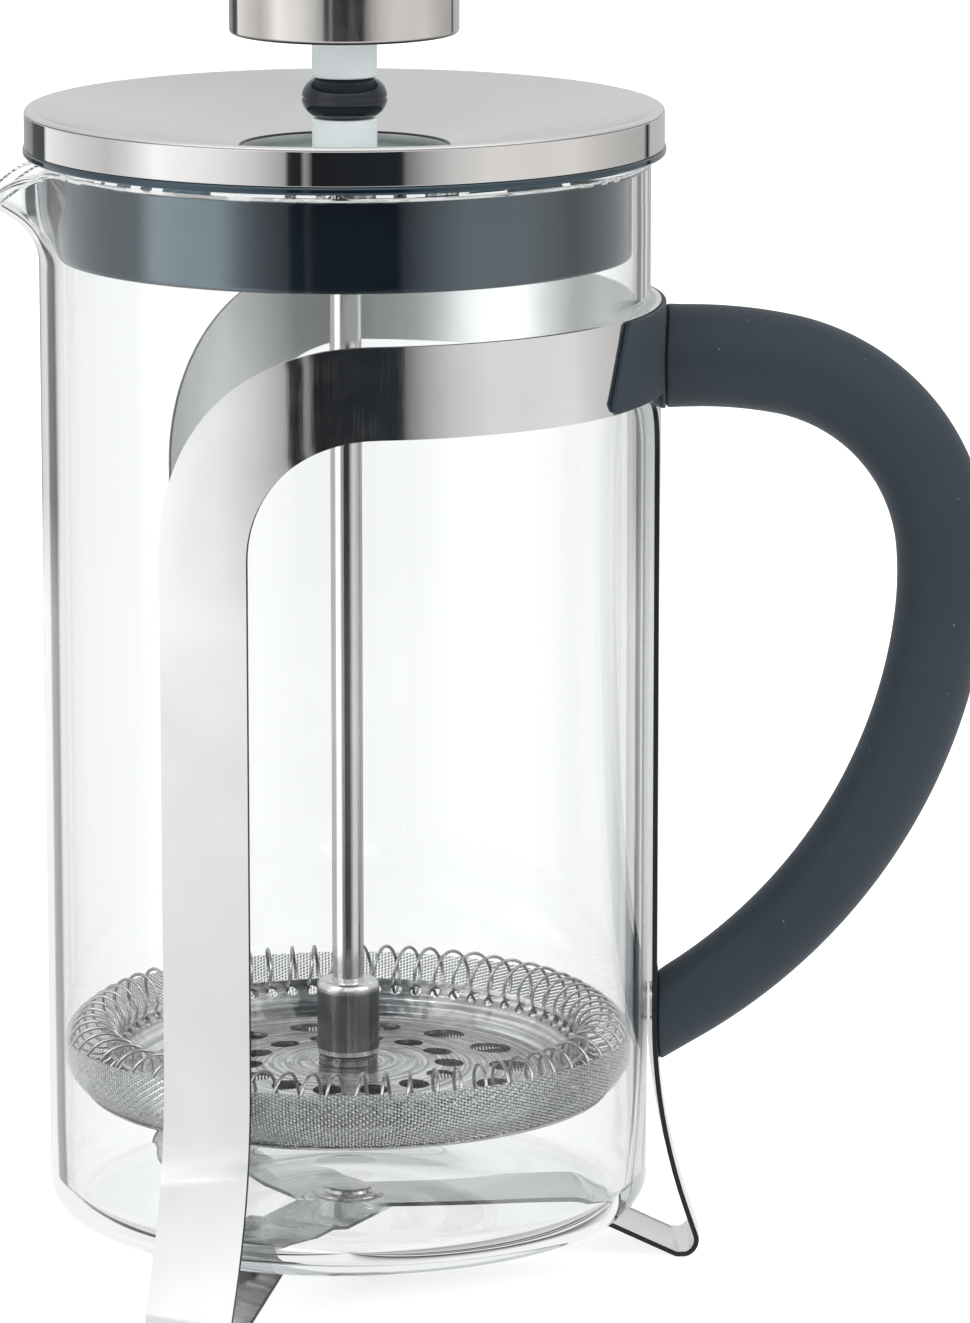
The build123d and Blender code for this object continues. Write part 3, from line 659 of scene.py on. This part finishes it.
def beaker_outline():
    """Outer face from the base's middle up to the rim, then the inner face down again."""
    def kick(radius, height, base):
        """Push-up of the base, from the axis outwards."""
        return [(radius * k / 16, base + height * (1 + cos(pi * k / 16)) / 2) for k in range(17)]

    outline = kick(KICK_RADIUS, KICK_HEIGHT, BEAKER_BASE) + [(37.0, BEAKER_BASE), (40.0, BEAKER_BASE)]
    outline += arc(GLASS_RADIUS - GLASS_CORNER, BEAKER_BASE + GLASS_CORNER, GLASS_CORNER, -90, 0, 10)
    walls = [24, 40, 60, 80, 100, 120, 140, 152, 157] + [LIP_LOW + 0.9 * k for k in range(19)]
    outline += [(GLASS_RADIUS, z) for z in walls]
    half = (GLASS_RADIUS - GLASS_INNER) / 2
    outline += arc(GLASS_RADIUS - half, BEAKER_RIM - half, half, 0, 180, 8)
    outline += [(GLASS_INNER, z) for z in reversed(walls)]
    floor = BEAKER_BASE + GLASS_FLOOR
    corner = GLASS_INNER_CORNER
    outline += arc(GLASS_INNER - corner, floor + corner, corner, 0, -90, 10)
    return outline + kick(KICK_INNER_RADIUS, KICK_INNER_HEIGHT, floor)[::-1]


def glass_beaker():
    """The beaker, with its upright edges set closer together round the lip."""
    count = 240
    azimuths = [2 * pi * k / count for k in range(count)]
    azimuths = [a + 0.55 * sin(a) for a in azimuths]
    return lathe("visual_beaker", beaker_outline(), azimuths, lip_warp)


# ---- Cradle


def strip_path():
    """Lower part of a leg, outer face, as (radius, height, outward r, outward z) from the flare's top
    to the level arm."""
    path = []
    x, z, heading = BAND_OUTER, FLARE_TOP, radians(-90)
    centre_height = FOOT_RADIUS - FOOT_FLAT
    flare, rise = radians(FLARE_ANGLE), radians(ARM_RISE)
    shin = (FLARE_TOP - FLARE_RADIUS * sin(flare) - centre_height - FOOT_RADIUS * sin(flare)) / cos(flare)
    climb = BEAKER_BASE - SHEET - centre_height + FOOT_RADIUS * cos(rise)
    arm = (climb - ARM_BEND * (1 - cos(rise))) / sin(rise)

    def add():
        """Adds a point, kept on the floor where the bend would dip under it."""
        path.append((x, max(z, 0.0), -sin(heading), cos(heading)))

    def turn(radius, angle, steps):
        nonlocal x, z, heading
        step = radians(angle) / steps
        chord = 2 * radius * sin(abs(step) / 2)
        for _ in range(steps):
            heading += step / 2
            x += chord * cos(heading)
            z += chord * sin(heading)
            heading += step / 2
            add()

    add()
    turn(FLARE_RADIUS, FLARE_ANGLE, 10)
    x += shin * cos(heading)
    z += shin * sin(heading)
    add()
    turn(FOOT_RADIUS, -(90 + FLARE_ANGLE + ARM_RISE), 14)
    x += arm * cos(heading)
    z += arm * sin(heading)
    add()
    turn(ARM_BEND, ARM_RISE, 5)
    return path


class Strip:
    """Outer face of the cradle's sheet, gathered as rows of points with an outward direction each."""

    def __init__(self):
        self.points, self.faces = [], []

    def add_rows(self, rows):
        """rows: lists of (point, outward) of equal length."""
        base = len(self.points)
        width = len(rows[0])
        for row in rows:
            self.points += [p for p, _ in row]
        for i in range(len(rows) - 1):
            for j in range(width - 1):
                a = base + i * width + j
                face = [a, a + 1, a + width + 1, a + width]
                corners = [Vector(self.points[k]) for k in face]
                normal = (corners[2] - corners[0]).cross(corners[3] - corners[1])
                if normal.dot(Vector(rows[i][j][1])) < 0:
                    face.reverse()
                self.faces.append(face)


def thicken(piece, thickness, edge, even=False):
    """Gives a surface its thickness in mm, away from its normals, and soft edges."""
    solid = piece.modifiers.new("sheet", "SOLIDIFY")
    solid.thickness = thickness * MM
    solid.offset = -1
    solid.use_even_offset = even
    soft = piece.modifiers.new("edges", "BEVEL")
    soft.width = edge * MM
    soft.segments = 3
    soft.limit_method = "ANGLE"
    soft.angle_limit = radians(50)
    return piece


def spread(half, count):
    """count + 1 even places from -half to half."""
    return [half * (2 * j / count - 1) for j in range(count + 1)]


def on_wall(azimuth, x, z, side):
    """Point of the cylindrical part, x mm sideways from a leg's middle."""
    a = side * (azimuth + asin(x / BAND_OUTER))
    return polar(BAND_OUTER, a, z), (cos(a), sin(a), 0)


def lower_rows(azimuth, side, level, count):
    """Rows of a leg's flare, foot and arm, and of its flat end round the rivet, which steps down by
    level sheets where arms overlap."""
    half = LEG_HALF
    rows = []
    for radius, z, nr, nz in strip_path():
        row = []
        for x in spread(half, count):
            a = side * (azimuth + asin(x / radius))
            row.append((polar(radius, a, z), (nr * cos(a), nr * sin(a), nz)))
        rows.append(row)
    low = BEAKER_BASE - SHEET
    drop = level * SHEET
    # (distance from the axis, share of the step)
    flats = [(28, 0), (24, 0), (20.3, 0), (19.6, 0.15), (18, 0.5), (16.4, 0.85), (15.7, 1), (12, 1), (8, 1),
             (4, 1)]
    flats += [(-half * sin(pi / 2 * k / 9), 1) for k in range(10)]
    middle = side * azimuth
    along, across = (cos(middle), sin(middle)), (-side * sin(middle), side * cos(middle))
    for rho, share in flats:
        width = half if rho >= 0 else max(sqrt(max(half * half - rho * rho, 0)), 0.5)
        row = []
        for x in spread(width, count):
            px, py = rho * along[0] + x * across[0], rho * along[1] + x * across[1]
            row.append(((AXIS_X + px * MM, py * MM, (low - drop * share) * MM), (0, 0, -1)))
        rows.append(row)
    return rows


def cradle():
    """The rolled sheet: on each side half the band, its arch and a lip-side leg, then the rear leg."""
    strip = Strip()
    count = STRIP_COLUMNS
    rear_half = LEG_HALF + REAR_FILLET
    lip_leg = radians(LIP_LEG_AZIMUTH)
    rear_edge = asin(rear_half / BAND_OUTER)

    def row_between(inner, outer, side):
        """Row from the inner or lower edge to the outer one, each as (azimuth, x, z)."""
        return [on_wall(*(a + (b - a) * j / count for a, b in zip(inner, outer)), side)
                for j in range(count + 1)]

    def arch_edge(x, z, radius, turn):
        return lip_leg, x - radius * (1 - cos(turn)), z - radius * (1 - sin(turn))

    for side in (1, -1):
        rows = []
        arch_low = lip_leg + asin((-LEG_HALF - ARCH_INNER) / BAND_OUTER)
        arch_high = lip_leg + asin((LEG_HALF - ARCH_OUTER) / BAND_OUTER)
        for k in range(25):
            share = k / 24
            rows.append(row_between((rear_edge + (arch_low - rear_edge) * share, 0, BAND_LOW),
                                    (rear_edge + (arch_high - rear_edge) * share, 0, BAND_HIGH), side))
        for k in range(1, 25):
            turn = radians(90 - 90 * k / 24)
            rows.append(row_between(arch_edge(-LEG_HALF, BAND_LOW, ARCH_INNER, turn),
                                    arch_edge(LEG_HALF, BAND_HIGH, ARCH_OUTER, turn), side))
        for z in (112, 100, 88, 76, 64, 52, 46):
            rows.append([on_wall(lip_leg, x, z, side) for x in spread(LEG_HALF, count)])
        rows += lower_rows(lip_leg, side, 1 if side > 0 else 2, count)
        strip.add_rows(rows)

    def rear_row(half, z):
        return [on_wall(0, x, z, 1) for x in spread(half, REAR_COLUMNS)]

    rise = (BAND_HIGH - BAND_LOW) / count
    rear = [rear_row(rear_half, BAND_LOW + rise * k) for k in range(count, -1, -1)]
    for k in range(1, 13):
        psi = radians(90 - 90 * k / 12)
        half = LEG_HALF + REAR_FILLET * (1 - cos(psi))
        rear.append(rear_row(half, BAND_LOW - REAR_FILLET * (1 - sin(psi))))
    rear += [rear_row(LEG_HALF, z) for z in (120, 108, 96, 84, 72, 60, 50)]
    rear += lower_rows(0, 1, 0, REAR_COLUMNS)
    strip.add_rows(rear)

    piece = new_mesh("visual_cradle", strip.points, strip.faces, closed=False)
    weld(piece, 0.02)
    return thicken(piece, SHEET, 0.14, even=True)


# ---- Handle


def handle_stations():
    """Points about 1.1 mm apart on the handle's centre line, as (x, z, heading, radius) in mm from
    the axis."""
    x, z, heading = BAND_OUTER - 3, HANDLE_HEIGHT, 0.0
    runs = [(None, 3 + 0.8 + HANDLE_STRAIGHT)]
    runs += [(radius, radius * radians(angle)) for radius, angle in HANDLE_BENDS]
    runs.append((None, 5.0))
    whole = sum(length for _, length in runs)
    stations, done = [(x, z, heading, HANDLE_START_RADIUS)], 0.0
    for radius, length in runs:
        pieces = max(2, round(length / 1.1))
        part = length / pieces
        half_turn = part / radius / 2 if radius else 0.0
        chord = 2 * radius * sin(half_turn) if radius else part
        for _ in range(pieces):
            heading -= half_turn
            x += chord * cos(heading)
            z += chord * sin(heading)
            heading -= half_turn
            done += part
            thickness = HANDLE_START_RADIUS + (HANDLE_END_RADIUS - HANDLE_START_RADIUS) * done / whole
            stations.append((x, z, heading, thickness))
    return stations


def leg_radius(z):
    """Outer radius of the rear leg at a height."""
    if z >= FLARE_TOP:
        return BAND_OUTER
    return BAND_OUTER + FLARE_RADIUS - sqrt(FLARE_RADIUS ** 2 - (FLARE_TOP - z) ** 2)


def handle_grip():
    """Tapered tube; its ends are cut to the collar and to the rear leg, with a small soft edge."""
    sides = 48
    stations = [s for s in handle_stations() if s[0] > 52.5]
    seam = BAND_OUTER + COLLAR_WALL + SEAM_GAP
    rings = []

    def ring_at(x, z, heading, radius):
        ring = []
        for k in range(sides):
            turn = 2 * pi * k / sides
            ring.append(Vector((x - sin(heading) * radius * cos(turn), radius * sin(turn),
                                z + cos(heading) * radius * cos(turn))))
        return ring

    for inset, ahead in ((1.2, 0.0), (0.45, 0.0), (0.12, 0.18), (0.0, 0.6)):
        ring = ring_at(0, HANDLE_HEIGHT, 0.0, HANDLE_START_RADIUS - inset)
        for p in ring:
            p.x = sqrt(seam ** 2 - p.y ** 2) + ahead
        rings.append(ring)
    body = [ring_at(*station) for station in stations]
    heading = stations[-1][2]
    along = Vector((cos(heading), 0, sin(heading)))
    keep = [ring for ring in body if min(p.x - leg_radius(p.z) for p in ring) > 1.0]
    rings += keep
    x, z = stations[body.index(keep[-1])][:2]
    for inset, short in ((0.0, 0.5), (0.12, 0.15), (0.4, 0.0), (1.2, 0.0)):
        ring = ring_at(x, z, heading, HANDLE_END_RADIUS - inset + 0.02)
        for p in ring:
            for _ in range(40):
                gap = sqrt(p.x ** 2 + p.y ** 2) - leg_radius(p.z) - 0.05
                p += along * (gap / -along.x)
            p -= along * short
        rings.append(ring)
    points = [(AXIS_X + p.x * MM, p.y * MM, p.z * MM) for ring in rings for p in ring]
    faces = []
    for i in range(len(rings) - 1):
        faces += bridge(i * sides, (i + 1) * sides, sides)
    faces.append(list(range(sides)))
    faces.append([(len(rings) - 1) * sides + k for k in range(sides)])
    return new_mesh("visual_grip", points, faces)


def collar_edge(y, base, sign):
    """Upper or lower edge of the collar at y mm sideways: straight, with a bulge round the grip."""
    radius = HANDLE_START_RADIUS + 0.1
    centre = HANDLE_HEIGHT
    straight = abs(base - centre)
    circle = sqrt(radius ** 2 - y ** 2) if abs(y) < radius else 0.0
    blend = 0.8
    reach = (straight + circle + sqrt((straight - circle) ** 2 + blend ** 2)) / 2 - blend * 0.02
    return centre + sign * max(straight, min(reach, radius))


def handle_collar():
    """Thin saddle on the band, with slanted ends and rounded corners."""
    strip = Strip()
    rows = []
    for k in range(97):
        share = k / 48 - 1
        end = max(0.0, abs(share) - 0.95) / 0.05 * COLLAR_CORNER
        trim = COLLAR_CORNER - sqrt(max(COLLAR_CORNER ** 2 - end ** 2, 0))
        row = []
        for j in range(13):
            y = share * (COLLAR_LOW_HALF + (COLLAR_HIGH_HALF - COLLAR_LOW_HALF) * j / 12)
            low = collar_edge(y, BAND_LOW + 0.3, -1) + trim
            high = collar_edge(y, BAND_HIGH - 0.2, 1) - trim
            a = asin(y / BAND_OUTER)
            row.append((polar(BAND_OUTER + 0.02, a, low + (high - low) * j / 12), (-cos(a), -sin(a), 0)))
        rows.append(row)
    strip.add_rows(rows)
    return thicken(new_mesh("visual_collar", strip.points, strip.faces, closed=False), COLLAR_WALL, 0.25)


# ---- Lid


def lid_cover():
    bore, inner, under = BUSHING_RADIUS + 0.05, LID_RADIUS - LID_SHEET, LID_TOP - LID_SHEET
    outline = rounded([
        (LID_RADIUS, LID_LOW, 0.2), (LID_RADIUS, LID_TOP, 0.6), (LID_EDGE_RADIUS, LID_TOP, 0.7),
        (WELL_RADIUS, LID_TOP - 6.0, 0.45), (WELL_RADIUS - 0.5, WELL_FLOOR + LID_SHEET, 0.4),
        (bore, WELL_FLOOR + LID_SHEET, 0), (bore, WELL_FLOOR, 0), (WELL_RADIUS, WELL_FLOOR, 0.3),
        (WELL_RADIUS + 0.6, WELL_FLOOR + 1.8, 0.4), (LID_EDGE_RADIUS - 0.25, under, 0.3), (inner, under, 0.3),
        (inner, LID_LOW, 0.15)])
    return lathe("visual_lid", outline, 256)


def lid_liner():
    bore, flange = BUSHING_RADIUS + 0.05, LID_RADIUS + 0.25
    ring, ring_inner = LINER_RADIUS, LINER_RADIUS - 1.8
    outline = rounded([
        (ring, LINER_LOW, 1.2), (ring, 175.9, 0), (ring + 0.25, 175.95, 0), (ring + 0.25, 178.3, 0.1),
        (flange, 178.32, 0.4), (flange, LID_LOW - 0.02, 0.3), (ring, LID_LOW - 0.05, 0.2),
        (ring - 0.6, 179.85, 0.2), (ring_inner, LID_LOW, 0.3), (42.3, WELL_FLOOR - 0.1, 0.3),
        (bore, WELL_FLOOR - 0.1, 0), (bore, 175.3, 0), (ring_inner, 175.3, 0.4),
        (ring_inner, LINER_LOW, 0.5)])
    return lathe("visual_liner", outline, 224)


def lid_bushing():
    outer = BUSHING_RADIUS
    outline = rounded([(ROD_BORE, 171.5, 0.1), (outer, 171.5, 0.3), (outer, 173.8, 0.1), (8.0, 173.8, 0.3),
                       (8.0, 175.28, 0.2), (outer, 175.28, 0.1), (outer, BUSHING_TOP, 0.4),
                       (ROD_BORE, BUSHING_TOP, 0.2)])
    return lathe("visual_bushing", outline, 96)


# ---- Plunger, filter and knob


def plunger_rod():
    outline = rounded([(0, 25.6, 0), (ROD_RADIUS, 25.6, 0.4), (ROD_RADIUS, 203.5, 0.4), (0, 203.5, 0)])
    return lathe("visual_rod", outline, 64)


def rod_hub():
    bore = ROD_RADIUS + 0.02
    outline = rounded([(bore, HUB_LOW, 0), (4.75, HUB_LOW, 0.15), (4.75, 32.3, 0.1), (4.4, 32.6, 0.1),
                       (5.0, 33.2, 0.25), (5.0, HUB_TOP, 1.75), (bore, HUB_TOP, 0.15)], 7)
    return lathe("visual_hub", outline, 96)


def bumper_ring():
    """Round bead with a fine moulding groove round its middle."""
    bore = ROD_RADIUS + 0.02
    outline = arc(3.55, BEAD_HEIGHT, BEAD_SIZE, -90, 90, 32)
    outline[16] = (outline[16][0] - 0.3, BEAD_HEIGHT)
    outline = [(bore, BEAD_HEIGHT - BEAD_SIZE), *outline, (bore, BEAD_HEIGHT + BEAD_SIZE)]
    return lathe("visual_bead", outline, 96)


def base_rivet():
    low, top = BEAKER_BASE - 3 * SHEET, BEAKER_BASE
    outline = rounded([
        (0, low - 0.9, 0), (2.8, low - 0.9, 0.3), (3.6, low - 0.4, 0.3), (3.6, low, 0.1), (2.0, low, 0),
        (2.0, top + 0.02, 0), (5.9, top + 0.02, 0.1), (5.7, top + 0.45, 0.2), (4.1, top + 0.5, 0.1),
        (3.9, top + 1.1, 0.2), (3.4, top + 1.3, 0.25), (0, top + 1.3, 0)])
    return lathe("visual_rivet", outline, 96)


def knob_shell():
    inner, under = KNOB_RADIUS - KNOB_SHEET, KNOB_TOP - KNOB_SHEET
    outline = rounded([
        (16.6, KNOB_LOW, 0.1), (KNOB_RADIUS, KNOB_LOW, 0.8), (KNOB_RADIUS, KNOB_TOP, 0.8), (0, KNOB_TOP, 0),
        (0, under, 0), (inner, under, 0.4), (inner, KNOB_LOW + 0.6, 0.1), (16.6, KNOB_LOW + 0.6, 0.1)])
    return lathe("visual_knob", outline, 192)


def knob_core():
    """White core: it fills the cup, holds the brass insert in its bore and ends in the neck."""
    outer, top, low = KNOB_RADIUS - KNOB_SHEET - 0.05, KNOB_TOP - KNOB_SHEET - 0.05, KNOB_LOW + 0.65
    outline = rounded([
        (3.6, 191.6, 0), (3.6, 206.0, 0), (0, 206.0, 0), (0, top, 0), (outer, top, 0.4), (outer, low, 0),
        (5.1, low, 0.5), (5.1, NECK_LOW, 0.35), (ROD_BORE, NECK_LOW, 0.1), (ROD_BORE, 191.6, 0)])
    return lathe("visual_neck", outline, 96)


def mesh_screen():
    """Wire cloth as a thin dish: a flat floor, a wall that bulges out and a short upright brim."""
    floor_radius, brim_from = 42.0, SCREEN_TOP - 2.0
    outer = [(4.6 + (floor_radius - 4.6) * k / 12, SCREEN_FLOOR) for k in range(13)]
    reach, rise = SCREEN_RADIUS - floor_radius, brim_from - SCREEN_FLOOR
    bulge = (reach ** 2 + rise ** 2) / (2 * reach)
    centre, start = SCREEN_RADIUS - bulge, asin(rise / bulge)
    for k in range(1, 11):
        turn = start * (1 - k / 10)
        outer.append((centre + bulge * cos(turn), brim_from - bulge * sin(turn)))
    outer.append((SCREEN_RADIUS, SCREEN_TOP))
    inner = [(r - (0.3 if z > SCREEN_FLOOR + 0.05 else 0.0), z + (0.3 if z < SCREEN_FLOOR + 1.1 else 0.1))
             for r, z in outer]
    inner[-1] = (SCREEN_RADIUS - 0.3, SCREEN_TOP)
    return lathe("visual_screen", outer + inner[::-1], 256)


def filter_spring():
    """Ring of wire coils, each a little off from its neighbours as wound wire is."""
    steps = 26
    total = COIL_COUNT * steps
    wobble = random.Random(7)
    lean = [wobble.uniform(-0.16, 0.16) for _ in range(COIL_COUNT)]
    size = [wobble.uniform(-0.12, 0.06) for _ in range(COIL_COUNT)]

    def eased(values, turn):
        i = int(turn) % COIL_COUNT
        t = turn - int(turn)
        t = t * t * (3 - 2 * t)
        return values[i] * (1 - t) + values[(i + 1) % COIL_COUNT] * t

    centres = []
    for k in range(total):
        turn = k / steps
        azimuth = 2 * pi * turn / COIL_COUNT
        phase = 2 * pi * turn
        radius_here = COIL_RADIUS + eased(size, turn)
        azimuth += (COIL_LEAN * cos(phase) + eased(lean, turn) * (1 - cos(phase)) / 2) * 2 * pi / COIL_COUNT
        radius = COIL_CENTRE_RADIUS - radius_here * cos(phase)
        height = COIL_CENTRE_HEIGHT - radius_here * sin(phase)
        centres.append(Vector(polar(radius, azimuth, height)))
    stations = []
    for k in range(total):
        tangent = (centres[(k + 1) % total] - centres[k - 1]).normalized()
        azimuth = 2 * pi * k / total
        middle = Vector(polar(COIL_CENTRE_RADIUS, azimuth, COIL_CENTRE_HEIGHT))
        outward = centres[k] - middle
        outward = (outward - tangent * outward.dot(tangent)).normalized()
        stations.append((centres[k], outward, tangent.cross(outward)))
    return closed_tube("visual_spring", stations, 8, WIRE_RADIUS)


# ---- Assembly of the pieces


def dress():
    """Puts the finished pieces in the CAD nodes' places and gives the kept nodes their materials."""
    steel = drawn_steel("turned_steel", 0.46, 0.06, 0.13, (1500, 1500, 90), 0.16)
    mirror = drawn_steel("drawn_rod_steel", 0.72, 0.03, 0.07, (1800, 1800, 40), 0.03)
    plate_steel = spun_plate()
    black = soft_touch()
    milky = milky_plastic()
    yellow = brass()
    finish_piece(cradle(), "frame", ["cradle"], cradle_steel())
    finish_piece(base_rivet(), "frame", ["base_rivet"], mirror)
    finish_piece(handle_grip(), "frame", ["handle_grip"], black)
    finish_piece(handle_collar(), "frame", ["handle_collar"], black)
    finish_piece(glass_beaker(), "beaker", ["glass_beaker"], clear_glass(), weighted=False)
    finish_piece(lid_cover(), "lid", ["lid_cover"], lid_steel())
    finish_piece(lid_liner(), "lid", ["lid_liner"], gloss_plastic())
    finish_piece(lid_bushing(), "guide", ["lid_bushing"], milky)
    finish_piece(plunger_rod(), "plunger", ["plunger_rod"], mirror)
    finish_piece(rod_hub(), "plunger", ["rod_hub"], brushed_hub())
    finish_piece(bumper_ring(), "plunger", ["bumper_ring"], rubber())
    finish_piece(filter_spring(), "plunger", ["filter_spring"], coil_wire(), weighted=False)
    finish_piece(mesh_screen(), "plunger", ["mesh_screen"], woven_screen())
    finish_piece(knob_shell(), "knob", ["knob_shell"], knob_steel())
    finish_piece(knob_core(), "knob", ["knob_core"], milky)
    kept = {"upper_handle_screw": steel, "lower_handle_screw": steel, "bushing_clip": steel,
            "spiral_plate": plate_steel, "cross_plate": plate_steel,
            "upper_handle_insert": yellow, "lower_handle_insert": yellow, "knob_insert": yellow}
    for name, material in kept.items():
        for slot in frame["nodes"][name].material_slots:
            slot.material = material


# ---- Studio


def floor():
    """Plain pale floor that glows a little, so that it stays as white as the background."""
    sheet = new_mesh("floor", [(-9, -9, 0), (9, -9, 0), (9, 9, 0), (-9, 9, 0)], [(0, 1, 2, 3)], False)
    s = Shader("floor")
    colour = s.blend(s.span(s.noise(3.0, 2), 0, 1), grey(0.916), grey(0.93))
    glow = s.principled(Base_Color=colour, Roughness=0.9, Specular_IOR_Level=0.1, Emission_Color=grey(1.0),
                        Emission_Strength=0.35)
    sheet.data.materials.append(s.done(glow))
    sheet.visible_transmission = False


def reflector():
    """Flat disc on the floor that only mirrors see: its brightness follows the bearing, so an upright
    wall shows it as soft and hard vertical bands. Near the object, where the legs look, it is plain."""
    steps, size = 72, 3.2
    turns = [2 * pi * k / steps for k in range(steps)]
    points = [(AXIS_X + r * cos(a), r * sin(a), 0.0004) for r in (0.0, size) for a in turns]
    sheet = new_mesh("reflector", points, [face[::-1] for face in bridge(0, steps, steps)], False)
    s = Shader("reflector")
    radius, azimuth, _ = s.cylinder()
    near = s.span(radius, FLOOR_NEAR_SHARE, 0.0, FLOOR_NEAR)
    plain = s.span(radius, *FLOOR_NEAR_LEVELS, FLOOR_NEAR_RISE)
    colour = s.blend(near, s.bearing_ramp(azimuth, FLOOR_BANDS), plain)
    sheet.data.materials.append(s.done(s.node("ShaderNodeEmission", {"Color": colour, "Strength": 1.0})))
    for ray in ("camera", "diffuse", "shadow", "transmission"):
        setattr(sheet, "visible_" + ray, False)


def world():
    """White all round for the eye and for soft light. A path that has met a mirror or glass sees a
    darker sky instead, with a softbox in front to the left, and under the horizon, where only rays
    through glass end, bands over the bearing."""
    studio_world = bpy.data.worlds.new("studio_world")
    bpy.context.scene.world = studio_world
    s = Shader("studio_world", studio_world)
    x, y, z = s.node("ShaderNodeSeparateXYZ", {"Vector": s.place}).outputs
    azimuth = s.math("ARCTAN2", y, x)
    softbox = s.bearing_ramp(azimuth, SOFTBOX_BEARINGS)
    front = s.blend(softbox, s.ramp(z, SKY_FRONT), s.ramp(z, SKY_SOFTBOX))
    sky = s.blend(s.span(y, 1.0, 0.0, (-0.1, 0.1)), s.ramp(z, SKY_BEHIND), front)
    mirrors = s.blend(s.math("LESS_THAN", z, 0.0), sky, s.bearing_ramp(azimuth, GLASS_BANDS))
    seen = s.node("ShaderNodeBackground", {"Color": mirrors, "Strength": 1.0})
    white = s.node("ShaderNodeBackground", {"Color": grey(1.0), "Strength": 1.15})
    mirrored = s.math("GREATER_THAN", s.node("ShaderNodeLightPath").outputs["Glossy Depth"], 0.5)
    s.done(s.node("ShaderNodeMixShader", {0: mirrored, 1: white.outputs[0], 2: seen.outputs[0]}))


def lamps():
    for name, place, size, power in LAMPS:
        data = bpy.data.lights.new(name, "AREA")
        data.shape = "SQUARE"
        data.size = size
        data.energy = power
        lamp = link(name, data)
        lamp.location = place
        aim = Vector((AXIS_X, 0, LAMP_AIM_HEIGHT)) - lamp.location
        lamp.rotation_euler = aim.to_track_quat("-Z", "Y").to_euler()
        lamp.visible_camera = False
        lamp.visible_glossy = False


def camera():
    data = bpy.data.cameras.new("camera")
    data.lens = CAMERA_LENS
    data.sensor_width = 36.0
    data.clip_start = 0.05
    data.clip_end = 40.0
    eye = link("camera", data)
    eye.location = (AXIS_X + CAMERA_PLACE[0], CAMERA_PLACE[1], CAMERA_PLACE[2])
    eye.rotation_euler = (radians(90 + CAMERA_PITCH), 0, radians(CAMERA_PAN + CAMERA_BEARING))
    bpy.context.scene.camera = eye


bpy.context.scene.view_settings.view_transform = "Standard"
dress()
floor()
reflector()
world()
lamps()
camera()
